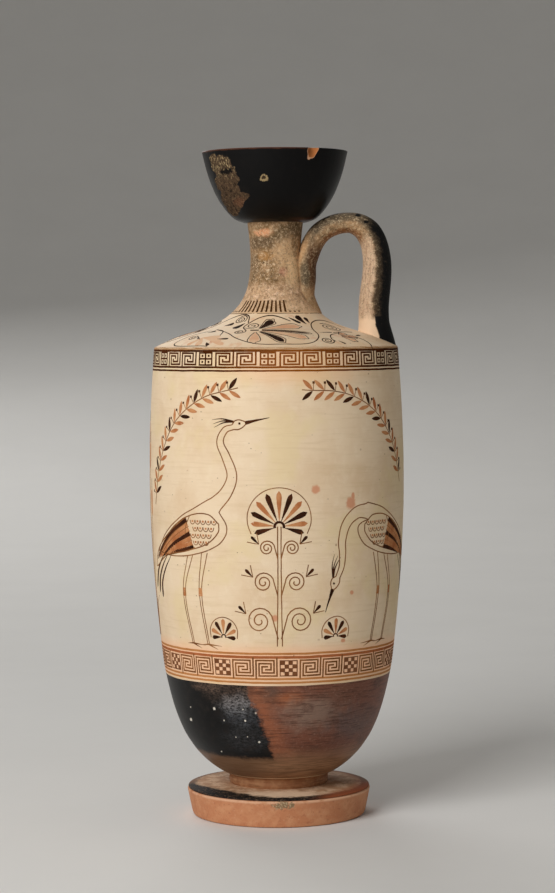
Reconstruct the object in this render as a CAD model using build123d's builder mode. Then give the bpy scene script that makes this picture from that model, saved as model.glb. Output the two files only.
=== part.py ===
"""A tall oil flask of the lekythos type, in fired clay.

The flask is built as a potter builds it: foot, body, shoulder, neck and mouth are thrown apart and stacked on the
wheel, and the strap handle is pulled and set on last. Each joint has a scored groove or a shallow recess that holds
a bed of slip, the liquid clay that bonds the pieces. A clay ring closes the joint between the body and the foot.

Lengths are millimetres. The axis of the flask is Z, the foot rests on Z = 0 and the handle points along +X.
"""

import os
from math import cos, degrees, radians, sin

from build123d import *

# Heights of the pieces, stacked from the table up
foot_height = 15.2
ring_height = 4.3
body_height = 206.0
shoulder_height = 18.0
neck_height = 42.5
mouth_height = 34.0

# Foot: a thick disc with a rounded upper edge, a groove under the edge and a hollow underside
foot_edge_radius = 44.4
foot_edge_round = 3.2
foot_edge_drop = 1.4
foot_lip_height = 1.6
foot_groove_depth = 1.1
foot_base_radius = 42.4
foot_base_round = 2.6
foot_hollow_radius = 30.0
foot_hollow_depth = 4.0

# Clay ring that closes the joint of foot and body
ring_radius = 22.4
ring_waist = 0.5

# Body: a tenon below, a rounded bowl, then a wall that swells a little and draws in under the shoulder
tenon_radius = 13.0
tenon_length = 8.5
body_base_radius = 23.2
bowl_low_radius = 37.6
bowl_low_height = 9.8
bowl_high_radius = 50.5
bowl_high_height = 33.5
band_radius = 55.9
band_height = 58.9
widest_radius = 61.5
widest_height = 143.5
body_top_radius = 58.9
body_wall = 4.6
body_floor = 8.5

# Shoulder: a shallow dome that rises to a seat for the neck
shoulder_edge_height = 0.9
shoulder_edge_inset = 0.7
shoulder_mid_radius = 46.0
shoulder_mid_height = 6.3
shoulder_rise_radius = 29.9
shoulder_rise_height = 11.7
shoulder_wall = 4.4
shoulder_spigot_depth = 5.0
shoulder_spigot_wall = 3.0
shoulder_opening_radius = 12.6

# Neck: flared at the foot, narrowest above the middle, with a collar that stands up into the mouth
neck_base_radius = 20.6
neck_flare_radius = 14.1
neck_flare_height = 10.3
neck_waist_radius = 12.1
neck_waist_height = 26.0
neck_top_radius = 13.6
neck_bore_radius = 8.0
neck_bore_flare = 2.4
neck_collar_radius = 10.9
neck_collar_height = 5.0

# Mouth: a deep cup with a plain lip
mouth_base_radius = 15.0
mouth_turn_radius = 22.6
mouth_turn_height = 4.6
mouth_side_radius = 29.6
mouth_side_height = 15.8
rim_radius = 35.0
rim_width = 2.6
mouth_wall = 4.0

# Handle: a strap that leaves the neck, loops under the mouth and comes down on the shoulder
handle_sections = 14
handle_tip_height = 6.5
handle_tip_offset = 1.0
handle_root_height = 15.0
handle_root_offset = 2.4
handle_lift_height = 24.5
handle_bend_radius = 22.0
handle_bend_drop = 5.0
handle_apex_radius = 35.4
handle_apex_drop = 0.7
handle_elbow_inset = 2.3
handle_elbow_drop = 5.6
handle_reach_offset = 1.7
handle_reach_height = 23.5
handle_limb_inset = 0.1
handle_limb_height = 0.5
handle_foot_inset = 11.6
handle_foot_sink = 7.0
handle_tip_thickness = 5.0
handle_tip_width = 9.0
handle_root_thickness = 10.6
handle_root_width = 13.5
handle_apex_thickness = 10.7
handle_apex_width = 15.0
handle_reach_thickness = 13.2
handle_reach_width = 16.5
handle_limb_thickness = 14.6
handle_limb_width = 18.0
handle_foot_thickness = 19.0
handle_foot_width = 22.0

# Joints: slip lies in grooves and shallow recesses, and nested faces keep a small clearance
joint_clearance = 0.2
handle_clearance = 0.1
slip_depth = 0.6
shoulder_slip_width = 2.2
neck_slip_width = 3.0
mouth_slip_width = 1.2
top_pad_length = 11.0
top_pad_width = 7.0
foot_pad_length = 10.0
foot_pad_width = 12.0

# Heights above the table, worked out from the stack
body_bottom = foot_height + ring_height
body_top = body_bottom + body_height
neck_bottom = body_top + shoulder_height
mouth_bottom = neck_bottom + neck_height
rim_top = mouth_bottom + mouth_height

# Where the handle comes down, measured in from the body's top edge
handle_foot_radius = body_top_radius - handle_foot_inset


def inset(curve, share, wall, side=1):
    """The point one wall inside a profile curve. Side is 1 where the curve is drawn upwards, -1 where downwards."""
    tangent = curve % share
    return curve @ share + Vector(-tangent.Y, tangent.X) * wall * side


def inset_line(curve, wall, first=0):
    """A smooth line one wall inside a profile curve, from a tenth of its length that is named to its end."""
    return Spline(*[inset(curve, share / 10, wall) for share in range(first, 11)])


def shoulder_outside(mode=Mode.ADD):
    """The upper face of the shoulder, drawn from its edge up to the neck."""
    return Spline(
        (body_top_radius - shoulder_edge_inset, body_top + shoulder_edge_height),
        (shoulder_mid_radius, body_top + shoulder_mid_height),
        (shoulder_rise_radius, body_top + shoulder_rise_height),
        (neck_base_radius, neck_bottom),
        tangents=((-0.80, 0.60), (-0.76, 0.65)),
        mode=mode,
    )


def neck_outside(mode=Mode.ADD):
    """The outer face of the neck, drawn from its flared foot up to the mouth."""
    return Spline(
        (neck_base_radius, neck_bottom),
        (neck_flare_radius, neck_bottom + neck_flare_height),
        (neck_waist_radius, neck_bottom + neck_waist_height),
        (neck_top_radius, mouth_bottom),
        tangents=((-0.76, 0.65), (0.12, 1.0)),
        mode=mode,
    )


def upright_plane(turn):
    """The plane that holds the axis, turned about it by an angle in degrees from the handle's own plane."""
    across = (cos(radians(turn)), sin(radians(turn)), 0)
    return Plane(origin=(0, 0, 0), x_dir=across, z_dir=(across[1], -across[0], 0))


# Foot, with a socket for the tenon of the body
socket_radius = tenon_radius + joint_clearance
socket_bottom = body_bottom - tenon_length - joint_clearance
with BuildPart() as foot:
    with BuildSketch(Plane.XZ):
        with BuildLine():
            top = Line((ring_radius, foot_height), (foot_edge_radius - foot_edge_round, foot_height - foot_edge_drop))
            edge = TangentArc(
                top @ 1, (foot_edge_radius, foot_height - foot_edge_drop - foot_edge_round), tangent=top % 1
            )
            lip = Line(edge @ 1, edge @ 1 - Vector(0, foot_lip_height))
            side = Line(lip @ 1 - Vector(foot_groove_depth, 0), (foot_base_radius, foot_base_round))
            Line(lip @ 1, side @ 0)
            base = TangentArc(side @ 1, (foot_base_radius - foot_base_round, 0), tangent=side % 1)
            Polyline(
                base @ 1,
                (foot_hollow_radius, 0),
                (0, foot_hollow_depth),
                (0, socket_bottom),
                (socket_radius, socket_bottom),
                (socket_radius, foot_height),
                top @ 0,
            )
        make_face()
    revolve(axis=Axis.Z)

# Clay ring between foot and body
with BuildPart() as foot_joint_ring:
    with BuildSketch(Plane.XZ):
        with BuildLine():
            waist = ThreePointArc(
                (ring_radius, foot_height),
                (ring_radius - ring_waist, foot_height + ring_height / 2),
                (ring_radius, body_bottom),
            )
            Polyline(waist @ 1, (socket_radius, body_bottom), (socket_radius, foot_height), waist @ 0)
        make_face()
    revolve(axis=Axis.Z)

# Ring of slip in the top of the body wall
with BuildPart() as shoulder_slip_ring:
    with BuildSketch(Plane.XZ):
        with Locations((body_top_radius - body_wall / 2, body_top - slip_depth / 2)):
            Rectangle(shoulder_slip_width, slip_depth)
    revolve(axis=Axis.Z)

# Body
with BuildPart() as body:
    with BuildSketch(Plane.XZ):
        with BuildLine():
            widest = (widest_radius, body_bottom + widest_height)
            upper = TangentArc(widest, (body_top_radius, body_top), tangent=(0, 1))
            lower = TangentArc(widest, (band_radius, body_bottom + band_height), tangent=(0, -1))
            bowl = Spline(
                lower @ 1,
                (bowl_high_radius, body_bottom + bowl_high_height),
                (bowl_low_radius, body_bottom + bowl_low_height),
                (body_base_radius, body_bottom),
                tangents=(lower % 1, (-0.90, -0.36)),
            )
            inside = Spline(
                (body_top_radius - body_wall, body_top),
                inset(upper, 0.5, body_wall),
                inset(upper, 0.0, body_wall),
                inset(lower, 0.5, body_wall, -1),
                inset(bowl, 0.0, body_wall, -1),
                inset(bowl, 0.35, body_wall, -1),
                inset(bowl, 0.65, body_wall, -1),
                (0, body_bottom + body_floor),
                tangents=((0.08, -1), (-1, 0)),
            )
            Line(upper @ 1, inside @ 0)
            Polyline(
                inside @ 1,
                (0, body_bottom - tenon_length),
                (tenon_radius, body_bottom - tenon_length),
                (tenon_radius, body_bottom),
                bowl @ 1,
            )
        make_face()
    revolve(axis=Axis.Z)
    add(shoulder_slip_ring.part, mode=Mode.SUBTRACT)

# Ring of slip in the neck's seat on the shoulder
with BuildPart() as neck_slip_ring:
    with BuildSketch(Plane.XZ):
        with Locations(((shoulder_opening_radius + neck_base_radius) / 2, neck_bottom - slip_depth / 2)):
            Rectangle(neck_slip_width, slip_depth)
    revolve(axis=Axis.Z)

# Ring of slip in the mouth's seat on the neck
with BuildPart() as mouth_slip_ring:
    with BuildSketch(Plane.XZ):
        with Locations(((neck_collar_radius + neck_top_radius) / 2, mouth_bottom - slip_depth / 2)):
            Rectangle(mouth_slip_width, slip_depth)
    revolve(axis=Axis.Z)

# Slip pad under the handle's root: a curved patch of the neck's own wall
top_pad_turn = degrees(top_pad_width / neck_waist_radius)
with BuildPart() as handle_top_slip_pad:
    with BuildSketch(upright_plane(-top_pad_turn / 2)):
        with BuildLine():
            outside = neck_outside()
            back = inset_line(outside, slip_depth)
            Line(outside @ 0, back @ 0)
            Line(outside @ 1, back @ 1)
        make_face()
        with Locations((neck_waist_radius, neck_bottom + handle_root_height)):
            Rectangle(2 * neck_base_radius, top_pad_length, mode=Mode.INTERSECT)
    revolve(axis=Axis.Z, revolution_arc=top_pad_turn)

# Slip pad under the handle's foot: a curved patch of the shoulder's own wall
foot_pad_turn = degrees(foot_pad_width / handle_foot_radius)
with BuildPart() as handle_foot_slip_pad:
    with BuildSketch(upright_plane(-foot_pad_turn / 2)):
        with BuildLine():
            outside = shoulder_outside()
            back = inset_line(outside, slip_depth)
            Line(outside @ 0, back @ 0)
            Line(outside @ 1, back @ 1)
        make_face()
        with Locations((handle_foot_radius, body_top + shoulder_mid_height)):
            Rectangle(foot_pad_length, 4 * shoulder_height, mode=Mode.INTERSECT)
    revolve(axis=Axis.Z, revolution_arc=foot_pad_turn)

# Shoulder, with a spigot that nests in the top of the body
spigot_radius = body_top_radius - body_wall - joint_clearance
with BuildPart() as shoulder:
    with BuildSketch(Plane.XZ):
        with BuildLine():
            outside = shoulder_outside()
            under = inset_line(outside, shoulder_wall, first=2)
            Polyline(
                outside @ 1,
                (shoulder_opening_radius, neck_bottom),
                (shoulder_opening_radius, neck_bottom - shoulder_wall),
                under @ 1,
            )
            Polyline(
                under @ 0,
                (spigot_radius - shoulder_spigot_wall, body_top - shoulder_spigot_depth),
                (spigot_radius, body_top - shoulder_spigot_depth),
                (spigot_radius, body_top),
                (body_top_radius, body_top),
                outside @ 0,
            )
        make_face()
    revolve(axis=Axis.Z)
    add(neck_slip_ring.part, mode=Mode.SUBTRACT)
    add(handle_foot_slip_pad.part, mode=Mode.SUBTRACT)

# Neck, with a spigot down into the shoulder's opening and a collar up into the mouth
neck_spigot_radius = shoulder_opening_radius - joint_clearance
neck_spigot_bottom = neck_bottom - shoulder_wall
with BuildPart() as neck:
    with BuildSketch(Plane.XZ):
        with BuildLine():
            outside = neck_outside()
            Polyline(
                outside @ 1,
                (neck_collar_radius, mouth_bottom),
                (neck_collar_radius, mouth_bottom + neck_collar_height),
                (neck_bore_radius, mouth_bottom + neck_collar_height),
                (neck_bore_radius, neck_bottom),
                (neck_bore_radius + neck_bore_flare, neck_spigot_bottom),
                (neck_spigot_radius, neck_spigot_bottom),
                (neck_spigot_radius, neck_bottom),
                outside @ 0,
            )
        make_face()
    revolve(axis=Axis.Z)
    add(mouth_slip_ring.part, mode=Mode.SUBTRACT)
    add(handle_top_slip_pad.part, mode=Mode.SUBTRACT)

# Mouth, a cup that drops over the neck's collar
collar_hole_radius = neck_collar_radius + joint_clearance
with BuildPart() as mouth:
    with BuildSketch(Plane.XZ):
        with BuildLine():
            outside = Spline(
                (mouth_base_radius, mouth_bottom),
                (mouth_turn_radius, mouth_bottom + mouth_turn_height),
                (mouth_side_radius, mouth_bottom + mouth_side_height),
                (rim_radius, rim_top - rim_width / 2),
                tangents=((0.96, 0.28), (0.22, 0.98)),
            )
            lip = ThreePointArc(
                outside @ 1,
                (rim_radius - rim_width / 2, rim_top),
                (rim_radius - rim_width, rim_top - rim_width / 2),
            )
            inside = Spline(
                lip @ 1,
                inset(outside, 0.75, mouth_wall),
                inset(outside, 0.5, mouth_wall),
                inset(outside, 0.25, mouth_wall),
                (collar_hole_radius, mouth_bottom + neck_collar_height),
            )
            Polyline(inside @ 1, (collar_hole_radius, mouth_bottom), outside @ 0)
        make_face()
    revolve(axis=Axis.Z)

# Shoulder and neck as one solid core, a clearance larger all round, which shapes the handle's ends
core_radius = body_top_radius + handle_clearance
core_bottom = body_top - shoulder_height
with BuildPart() as core:
    with BuildSketch(Plane.XZ):
        with BuildLine():
            low = inset_line(shoulder_outside(Mode.PRIVATE), -handle_clearance)
            high = inset_line(neck_outside(Mode.PRIVATE), -handle_clearance)
            Polyline(
                high @ 1,
                (0, mouth_bottom),
                (0, core_bottom),
                (core_radius, core_bottom),
                (core_radius, body_top),
                low @ 0,
            )
        make_face()
    revolve(axis=Axis.Z)

# Thickness and width of the strap at shares of its run
strap_stations = (
    (0.0, handle_tip_thickness, handle_tip_width),
    (0.1, handle_root_thickness, handle_root_width),
    (0.42, handle_apex_thickness, handle_apex_width),
    (0.63, handle_reach_thickness, handle_reach_width),
    (0.84, handle_limb_thickness, handle_limb_width),
    (1.0, handle_foot_thickness, handle_foot_width),
)


def strap_size(share):
    """The strap's thickness and width at a share of its run, on straight lines between the stations."""
    for (start, *first), (end, *last) in zip(strap_stations, strap_stations[1:]):
        if share <= end:
            part_way = (share - start) / (end - start)
            return [a + (b - a) * part_way for a, b in zip(first, last)]


# Handle, lofted through oval sections along its run
with BuildPart() as handle:
    with BuildLine(Plane.XZ):
        run = Spline(
            (neck_waist_radius + handle_tip_offset, neck_bottom + handle_tip_height),
            (neck_waist_radius + handle_root_offset, neck_bottom + handle_root_height),
            (neck_waist_radius + handle_root_offset, neck_bottom + handle_lift_height),
            (handle_bend_radius, mouth_bottom - handle_bend_drop),
            (handle_apex_radius, mouth_bottom - handle_apex_drop),
            (handle_foot_radius - handle_elbow_inset, mouth_bottom - handle_elbow_drop),
            (handle_foot_radius + handle_reach_offset, neck_bottom + handle_reach_height),
            (handle_foot_radius - handle_limb_inset, neck_bottom + handle_limb_height),
            (handle_foot_radius, body_top + shoulder_mid_height - handle_foot_sink),
            tangents=((0.1, 1), (0, -1)),
        )
    for step in range(handle_sections + 1):
        share = step / handle_sections
        thickness, width = strap_size(share)
        with BuildSketch(Plane(origin=run @ share, x_dir=(0, 1, 0), z_dir=run % share)):
            Ellipse(width / 2, thickness / 2)
    loft()
    add(core.part, mode=Mode.SUBTRACT)

# One STEP file for each piece
pieces = {
    "foot": foot,
    "foot_joint_ring": foot_joint_ring,
    "body": body,
    "shoulder": shoulder,
    "neck": neck,
    "mouth": mouth,
    "handle": handle,
    "shoulder_slip_ring": shoulder_slip_ring,
    "neck_slip_ring": neck_slip_ring,
    "mouth_slip_ring": mouth_slip_ring,
    "handle_top_slip_pad": handle_top_slip_pad,
    "handle_foot_slip_pad": handle_foot_slip_pad,
}
os.makedirs("parts", exist_ok=True)
for name, piece in pieces.items():
    piece.part.label = name
    export_step(piece.part, f"parts/{name}.step")
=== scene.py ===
"""Looks of a white-ground oil flask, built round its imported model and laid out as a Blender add-on."""

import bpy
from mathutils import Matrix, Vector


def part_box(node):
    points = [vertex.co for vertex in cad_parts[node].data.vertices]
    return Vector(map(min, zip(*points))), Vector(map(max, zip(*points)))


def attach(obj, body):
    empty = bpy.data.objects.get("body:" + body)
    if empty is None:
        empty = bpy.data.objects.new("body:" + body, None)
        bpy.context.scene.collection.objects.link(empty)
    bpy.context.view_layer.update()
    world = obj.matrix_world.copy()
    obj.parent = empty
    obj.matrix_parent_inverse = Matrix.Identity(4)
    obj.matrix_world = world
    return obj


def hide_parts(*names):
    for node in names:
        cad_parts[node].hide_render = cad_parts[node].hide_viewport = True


bl_info = {
    "name": "White-ground oil flask",
    "version": (1, 0, 0),
    "blender": (4, 5, 0),
    "location": "View3D > Sidebar > Flask",
    "description": "Dresses the packed flask in clay, slip, gloss and painted bands",
    "category": "Add Mesh",
}

from math import ceil, cos, hypot, pi, radians, sin, sqrt
from typing import NamedTuple

import bmesh
import bpy
import numpy as np
from bpy.props import FloatProperty, FloatVectorProperty, IntProperty, PointerProperty
from mathutils import Matrix, Vector, noise
from mathutils.geometry import interpolate_bezier

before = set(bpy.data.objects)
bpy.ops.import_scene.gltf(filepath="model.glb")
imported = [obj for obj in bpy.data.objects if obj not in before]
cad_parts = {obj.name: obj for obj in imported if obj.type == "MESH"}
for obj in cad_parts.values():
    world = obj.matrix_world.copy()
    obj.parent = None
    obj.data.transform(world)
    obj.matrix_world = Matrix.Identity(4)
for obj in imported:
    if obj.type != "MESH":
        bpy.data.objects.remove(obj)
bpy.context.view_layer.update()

MM = 0.001
FULL_TURN = 2 * pi
HAND_SEED = 5

# Vector noise is seeded from the clock unless a seed is set, and every run has to draw the same lines
noise.seed_set(HAND_SEED)


# Lines and outlines, in millimetres


def smooth_line(points, steps=8):
    """A smooth line through the points, with this many steps from one to the next."""
    knots = [Vector(p) for p in points]
    last = len(knots) - 1
    leans = [(knots[min(i + 1, last)] - knots[max(i - 1, 0)]).normalized() for i in range(last + 1)]
    line = []
    for i in range(last):
        a, b = knots[i], knots[i + 1]
        reach = (b - a).length / 3
        line += interpolate_bezier(a, a + leans[i] * reach, b - leans[i + 1] * reach, b, steps + 1)[:-1]
    return line + [knots[-1]]


def divided(points, longest):
    """The same path with no run longer than this."""
    path = [Vector(points[0])]
    for start, end in zip(points, points[1:]):
        start, end = Vector(start), Vector(end)
        parts = max(1, ceil((end - start).length / longest))
        path += [start.lerp(end, k / parts) for k in range(1, parts + 1)]
    return path


def spiral(centre, radius, start, turn, turns=1.9):
    """A volute that winds inwards from a start angle in degrees; turn is 1 or -1."""
    line = []
    steps = 34
    for k in range(steps + 1):
        share = k / steps
        angle = radians(start) + turn * FULL_TURN * turns * share
        reach = radius * (1 - 0.86 * share)
        line.append(Vector(centre) + Vector((cos(angle), sin(angle))) * reach)
    return line


def leaf_width(share):
    """A petal's width along its length: narrow where it starts, broad and round at its end."""
    return max(0.04, share) ** 0.9 * sqrt(max(0.0, 1 - share**6)) + 0.02


def bill_width(share):
    """A stroke that starts full and ends in a point."""
    return 1 - 0.88 * share


def feather_width(share):
    """A feather is full along its length and round at its end."""
    return sqrt(max(0.02, 1 - share**5))


def laurel_width(share):
    """A laurel leaf is pointed at both ends."""
    return sin(pi * (0.03 + 0.94 * share)) ** 0.8


def reed_width(share):
    """A reed's head is round at both ends."""
    return sqrt(max(0.03, 1 - (2 * share - 1) ** 4))


class Outline:
    """A dense outline of (radius, height) that can be read either way."""

    def __init__(self, points, steps):
        self.line = smooth_line(points, steps)
        self.radii = [p.x for p in self.line]
        self.heights = [p.y for p in self.line]

    def radius(self, height):
        return float(np.interp(height, self.heights, self.radii))

    def height(self, radius):
        return float(np.interp(radius, self.radii[::-1], self.heights[::-1]))

    def arc(self, height):
        """How wide a degree is at a height."""
        return self.radius(height) * radians(1)

    def wrap(self, x, y, lift):
        """Lay a drawing round the outline: x runs round it in degrees, y is the height."""
        turn = radians(x)
        reach = self.radius(y) + lift
        return reach * sin(turn), -reach * cos(turn), y

    def cover(self, x, y, lift):
        """Lay a drawing on the outline's top, as seen from above."""
        return x, y, self.height(hypot(x, y)) + lift


# Heights and outlines that several pieces share

FOOT_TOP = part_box("foot")[1].z / MM
BODY_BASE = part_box("foot_joint_ring")[1].z / MM
BODY_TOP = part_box("body")[1].z / MM
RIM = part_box("mouth")[1].z / MM
COAT_EDGE = 69.2
NECK_BASE = 243.5
NECK_TOP = 286.0
COLLAR_TOP = 290.5

WALL = (
    (23.1, BODY_BASE), (27.5, 21.4), (33.3, 25.4), (37.5, 29.3), (40.9, 33.3), (45.8, 41.2), (50.4, 53.0),
    (54.4, COAT_EDGE), (55.8, 78.4), (58.1, 100.0), (60.1, 125.0), (61.2, 148.0), (61.4, 163.0),
    (61.2, 180.0), (60.2, 205.0), (58.8, BODY_TOP),
)
DOME = (
    (58.8, BODY_TOP), (58.5, 226.3), (56.7, 227.2), (54.0, 228.6), (46.8, 231.6), (37.4, 234.4),
    (29.6, 237.2), (24.5, 240.2), (20.5, NECK_BASE),
)
STEM = (
    (20.5, NECK_BASE), (17.0, 247.6), (14.0, 253.8), (12.4, 262.0), (12.0, 269.5), (12.5, 278.0),
    (13.4, NECK_TOP),
)
wall = Outline(WALL, 10)
dome = Outline(DOME, 6)
stem = Outline(STEM, 8)
flare = Outline((*dome.line, *stem.line[1:]), 1)


# Meshes

# How often a hand sways and presses along a line, for each millimetre, and how much a press swells it
SWAY = 0.21
PRESS = 0.4
SWELL = 1.4
# Each stroke lies in one of a few thin layers, so that faces rarely coincide where strokes cross
LAYER = 0.004
LAYERS = 13
FILM_RISE = 0.03


def throw(section, steps, closed=True):
    """Spin a section of (radius, height) about the flask's axis, as on a wheel."""
    clay = bmesh.new()
    ring = [clay.verts.new((p[0], 0, p[1])) for p in section]
    pairs = list(zip(ring, ring[1:]))
    if closed:
        pairs.append((ring[-1], ring[0]))
    edges = [clay.edges.new(pair) for pair in pairs]
    bmesh.ops.spin(
        clay, geom=ring + edges, cent=(0, 0, 0), axis=(0, 0, 1), angle=FULL_TURN, steps=steps, use_merge=True
    )
    bmesh.ops.remove_doubles(clay, verts=clay.verts, dist=1e-4)
    bmesh.ops.delete(clay, geom=[e for e in clay.edges if e.is_wire], context="EDGES")
    bmesh.ops.recalc_face_normals(clay, faces=clay.faces)
    return clay


def film_section(outline, low, high, depth, lift, rows):
    """The section of a thin film on an outline, between two heights."""
    heights = [low + (high - low) * k / rows for k in range(rows + 1)]
    outer = [(outline.radius(h) + lift, h) for h in heights]
    inner = [(outline.radius(h) - depth, h) for h in reversed(heights)]
    return outer + inner


def brush(sheet, points, width, shape=None, across=1, wobble=0.1):
    """Draw one brush stroke on a flat sheet: a strip along the points, whose width may swell and taper."""
    path = [Vector(p) + noise.noise_vector(Vector((p[0], p[1], 0.0)) * SWAY).xy * wobble for p in points]
    last = len(path) - 1
    runs = [(b - a).normalized() for a, b in zip(path, path[1:])]
    sides = []
    for at in range(last + 1):
        before = runs[max(at - 1, 0)].orthogonal()
        after = runs[min(at, last - 1)].orthogonal()
        sides.append((before + after) / max(0.5, 1 + before.dot(after)))
    lift = LAYER * (len(sheet.faces) % LAYERS)
    for vert in bmesh.ops.create_grid(sheet, x_segments=last, y_segments=across, size=0.5)["verts"]:
        share = vert.co.x + 0.5
        at = round(share * last)
        spread = width * (shape(share) if shape else 1.0)
        spread *= 1 + wobble * SWELL * noise.noise((path[at] * PRESS).to_3d())
        vert.co = (path[at] + sides[at] * (spread * vert.co.y)).to_3d()
        vert.co.z = lift


def lay(sheet, place, arc=1.0):
    """Thicken a sheet of strokes into a film and wrap it on the flask; arc is how wide a degree is drawn."""
    depth = given()[0].film / MM
    bmesh.ops.translate(sheet, verts=sheet.verts, vec=(0, 0, -depth))
    top = bmesh.ops.extrude_face_region(sheet, geom=list(sheet.faces))["geom"]
    raised = [part for part in top if isinstance(part, bmesh.types.BMVert)]
    bmesh.ops.translate(sheet, verts=raised, vec=(0, 0, depth + FILM_RISE))
    for vert in sheet.verts:
        vert.co = place(vert.co.x / arc, vert.co.y, vert.co.z)
    return sheet


def set_piece(name, shape, material, stands_for=(), crease=38):
    """Turn a finished shape into a piece that rides with the flask."""
    bmesh.ops.scale(shape, vec=(MM, MM, MM), verts=shape.verts)
    mesh = bpy.data.meshes.new(name)
    shape.to_mesh(mesh)
    shape.free()
    mesh.polygons.foreach_set("use_smooth", [True] * len(mesh.polygons))
    mesh.set_sharp_from_angle(angle=radians(crease))
    mesh.materials.append(material)
    piece = bpy.data.objects.new(name, mesh)
    bpy.context.scene.collection.objects.link(piece)
    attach(piece, "root")
    if stands_for:
        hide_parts(*stands_for)


# Finishes


def tone(code):
    """A colour written as on screen, in the linear values that a shader takes."""
    parts = [int(code[i : i + 2], 16) / 255 for i in (0, 2, 4)]
    return tuple(p / 12.92 if p < 0.04045 else ((p + 0.055) / 1.055) ** 2.4 for p in parts)


# A Mix node holds its sockets once for each kind of value; these are the ones for colours
MIX_SHARE, MIX_UNDER, MIX_OVER, MIX_RESULT = 0, 6, 7, 2
# Noise drawn out round the pot, as the wheel leaves it
WHEEL_MARKS = (0.06, 0.06, 1.0)


class Finish:
    """A material laid on in coats, with short ways to make the masks that clay, slip and gloss share."""

    def __init__(self, name, roughness, specular, colour):
        self.material = bpy.data.materials.new(name)
        self.material.use_nodes = True
        self.tree = self.material.node_tree
        self.shader = self.tree.nodes["Principled BSDF"]
        self.shader.inputs["Roughness"].default_value = roughness
        self.shader.inputs["Specular IOR Level"].default_value = specular
        self.place = self.add("ShaderNodeTexCoord").outputs["Object"]
        self.colour = colour

    def add(self, kind, values=None, **settings):
        node = self.tree.nodes.new(kind)
        for key, value in settings.items():
            setattr(node, key, value)
        for key, value in (values or {}).items():
            self.put(node.inputs[key], value)
        return node

    def put(self, socket, value):
        """Link a socket or set it; a colour may be a code, as on screen."""
        if isinstance(value, bpy.types.NodeSocket):
            self.tree.links.new(value, socket)
        elif socket.type == "RGBA":
            socket.default_value = (*(tone(value) if isinstance(value, str) else value), 1.0)
        else:
            socket.default_value = value

    def maths(self, operation, *values):
        """Join values by one operation, from left to right."""
        result = values[0]
        for value in values[1:]:
            result = self.add("ShaderNodeMath", {0: result, 1: value}, operation=operation).outputs[0]
        return result

    def times(self, *values):
        return self.maths("MULTIPLY", *values)

    def plus(self, *values):
        return self.maths("ADD", *values)

    def most(self, *values):
        return self.maths("MAXIMUM", *values)

    def vector(self, operation, first, second, output="Vector"):
        return self.add("ShaderNodeVectorMath", {0: first, 1: second}, operation=operation).outputs[output]

    def axis(self, letter):
        """One of the coordinates, in millimetres."""
        return self.times(self.add("ShaderNodeSeparateXYZ", {0: self.place}).outputs[letter], 1 / MM)

    def radial(self):
        """The distance from the flask's axis, in millimetres."""
        flat = self.vector("MULTIPLY", self.place, (1, 1, 0))
        return self.times(self.vector("LENGTH", flat, (0, 0, 0), "Value"), 1 / MM)

    def attribute(self, name):
        return self.add("ShaderNodeAttribute", attribute_name=name).outputs["Fac"]

    def step(self, value, low, high):
        """0 at low and 1 at high, with a soft start and end."""
        values = {"Value": value, "From Min": low, "From Max": high}
        return self.add("ShaderNodeMapRange", values, interpolation_type="SMOOTHSTEP").outputs["Result"]

    def moved(self, shift, stretch=(1, 1, 1)):
        """The place, moved and stretched, so that no two patterns fall together."""
        values = {"Vector": self.place, "Location": (shift,) * 3, "Scale": stretch}
        return self.add("ShaderNodeMapping", values).outputs[0]

    def noise(self, grain, detail=5.0, stretch=(1, 1, 1), shift=0.0, roughness=0.6):
        """Cloudy noise whose blotches are about this many millimetres across."""
        place = self.moved(shift, stretch)
        values = {"Vector": place, "Scale": 1 / (grain * MM), "Detail": detail, "Roughness": roughness}
        return self.add("ShaderNodeTexNoise", values).outputs["Fac"]

    def sway(self, grain, reach, **more):
        """Noise round zero, for ragged edges."""
        return self.times(self.plus(self.noise(grain, **more), -0.5), reach)

    def blotch(self, grain, low, high, **more):
        """Blotches that start where the noise passes low and are full where it passes high."""
        return self.step(self.noise(grain, **more), low, high)

    def speck(self, grain, size, shift=0.0):
        """1 in small scattered specks and 0 between them."""
        values = {"Vector": self.moved(shift), "Scale": 1 / (grain * MM)}
        cells = self.add("ShaderNodeTexVoronoi", values)
        return self.step(cells.outputs["Distance"], size, size * 0.6)

    def spot(self, centre, size, ragged=0.35, grain=3.0, edge=0.12):
        """1 inside a ragged patch round a point, and 0 outside it; sizes are half widths in millimetres."""
        away = self.vector("SUBTRACT", self.place, [c * MM for c in centre])
        scaled = self.vector("MULTIPLY", away, [1 / (s * MM) for s in size])
        length = self.vector("LENGTH", scaled, (0, 0, 0), "Value")
        return self.step(self.plus(length, self.sway(grain, 4 * ragged)), 1 + edge, 1 - edge)

    def over(self, colour, share, *masks):
        """Lay another coat where all the masks meet, to a share of its strength."""
        where = self.times(*masks) if share == 1 else self.times(*masks, share)
        node = self.add("ShaderNodeMix", data_type="RGBA")
        for index, value in ((MIX_SHARE, where), (MIX_UNDER, self.colour), (MIX_OVER, colour)):
            self.put(node.inputs[index], value)
        self.colour = node.outputs[MIX_RESULT]

    def grains(self, dark, pale, share, where=1.0):
        """Fine dark and pale grains, as on weathered slip."""
        for shift, tint in ((4.0, dark), (1.0, pale)):
            mottle = self.blotch(1.3, 0.5, 0.6, shift=shift, detail=8.0, roughness=0.85)
            self.over(tint, share, mottle, where)

    def done(self, relief, strength, depth, roughness=None):
        """Join the coats and the relief to the shader."""
        self.put(self.shader.inputs["Base Color"], self.colour)
        if roughness is not None:
            self.put(self.shader.inputs["Roughness"], roughness)
        values = {"Strength": strength, "Distance": depth * MM, "Height": relief}
        self.put(self.shader.inputs["Normal"], self.add("ShaderNodeBump", values).outputs[0])
        return self.material


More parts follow.
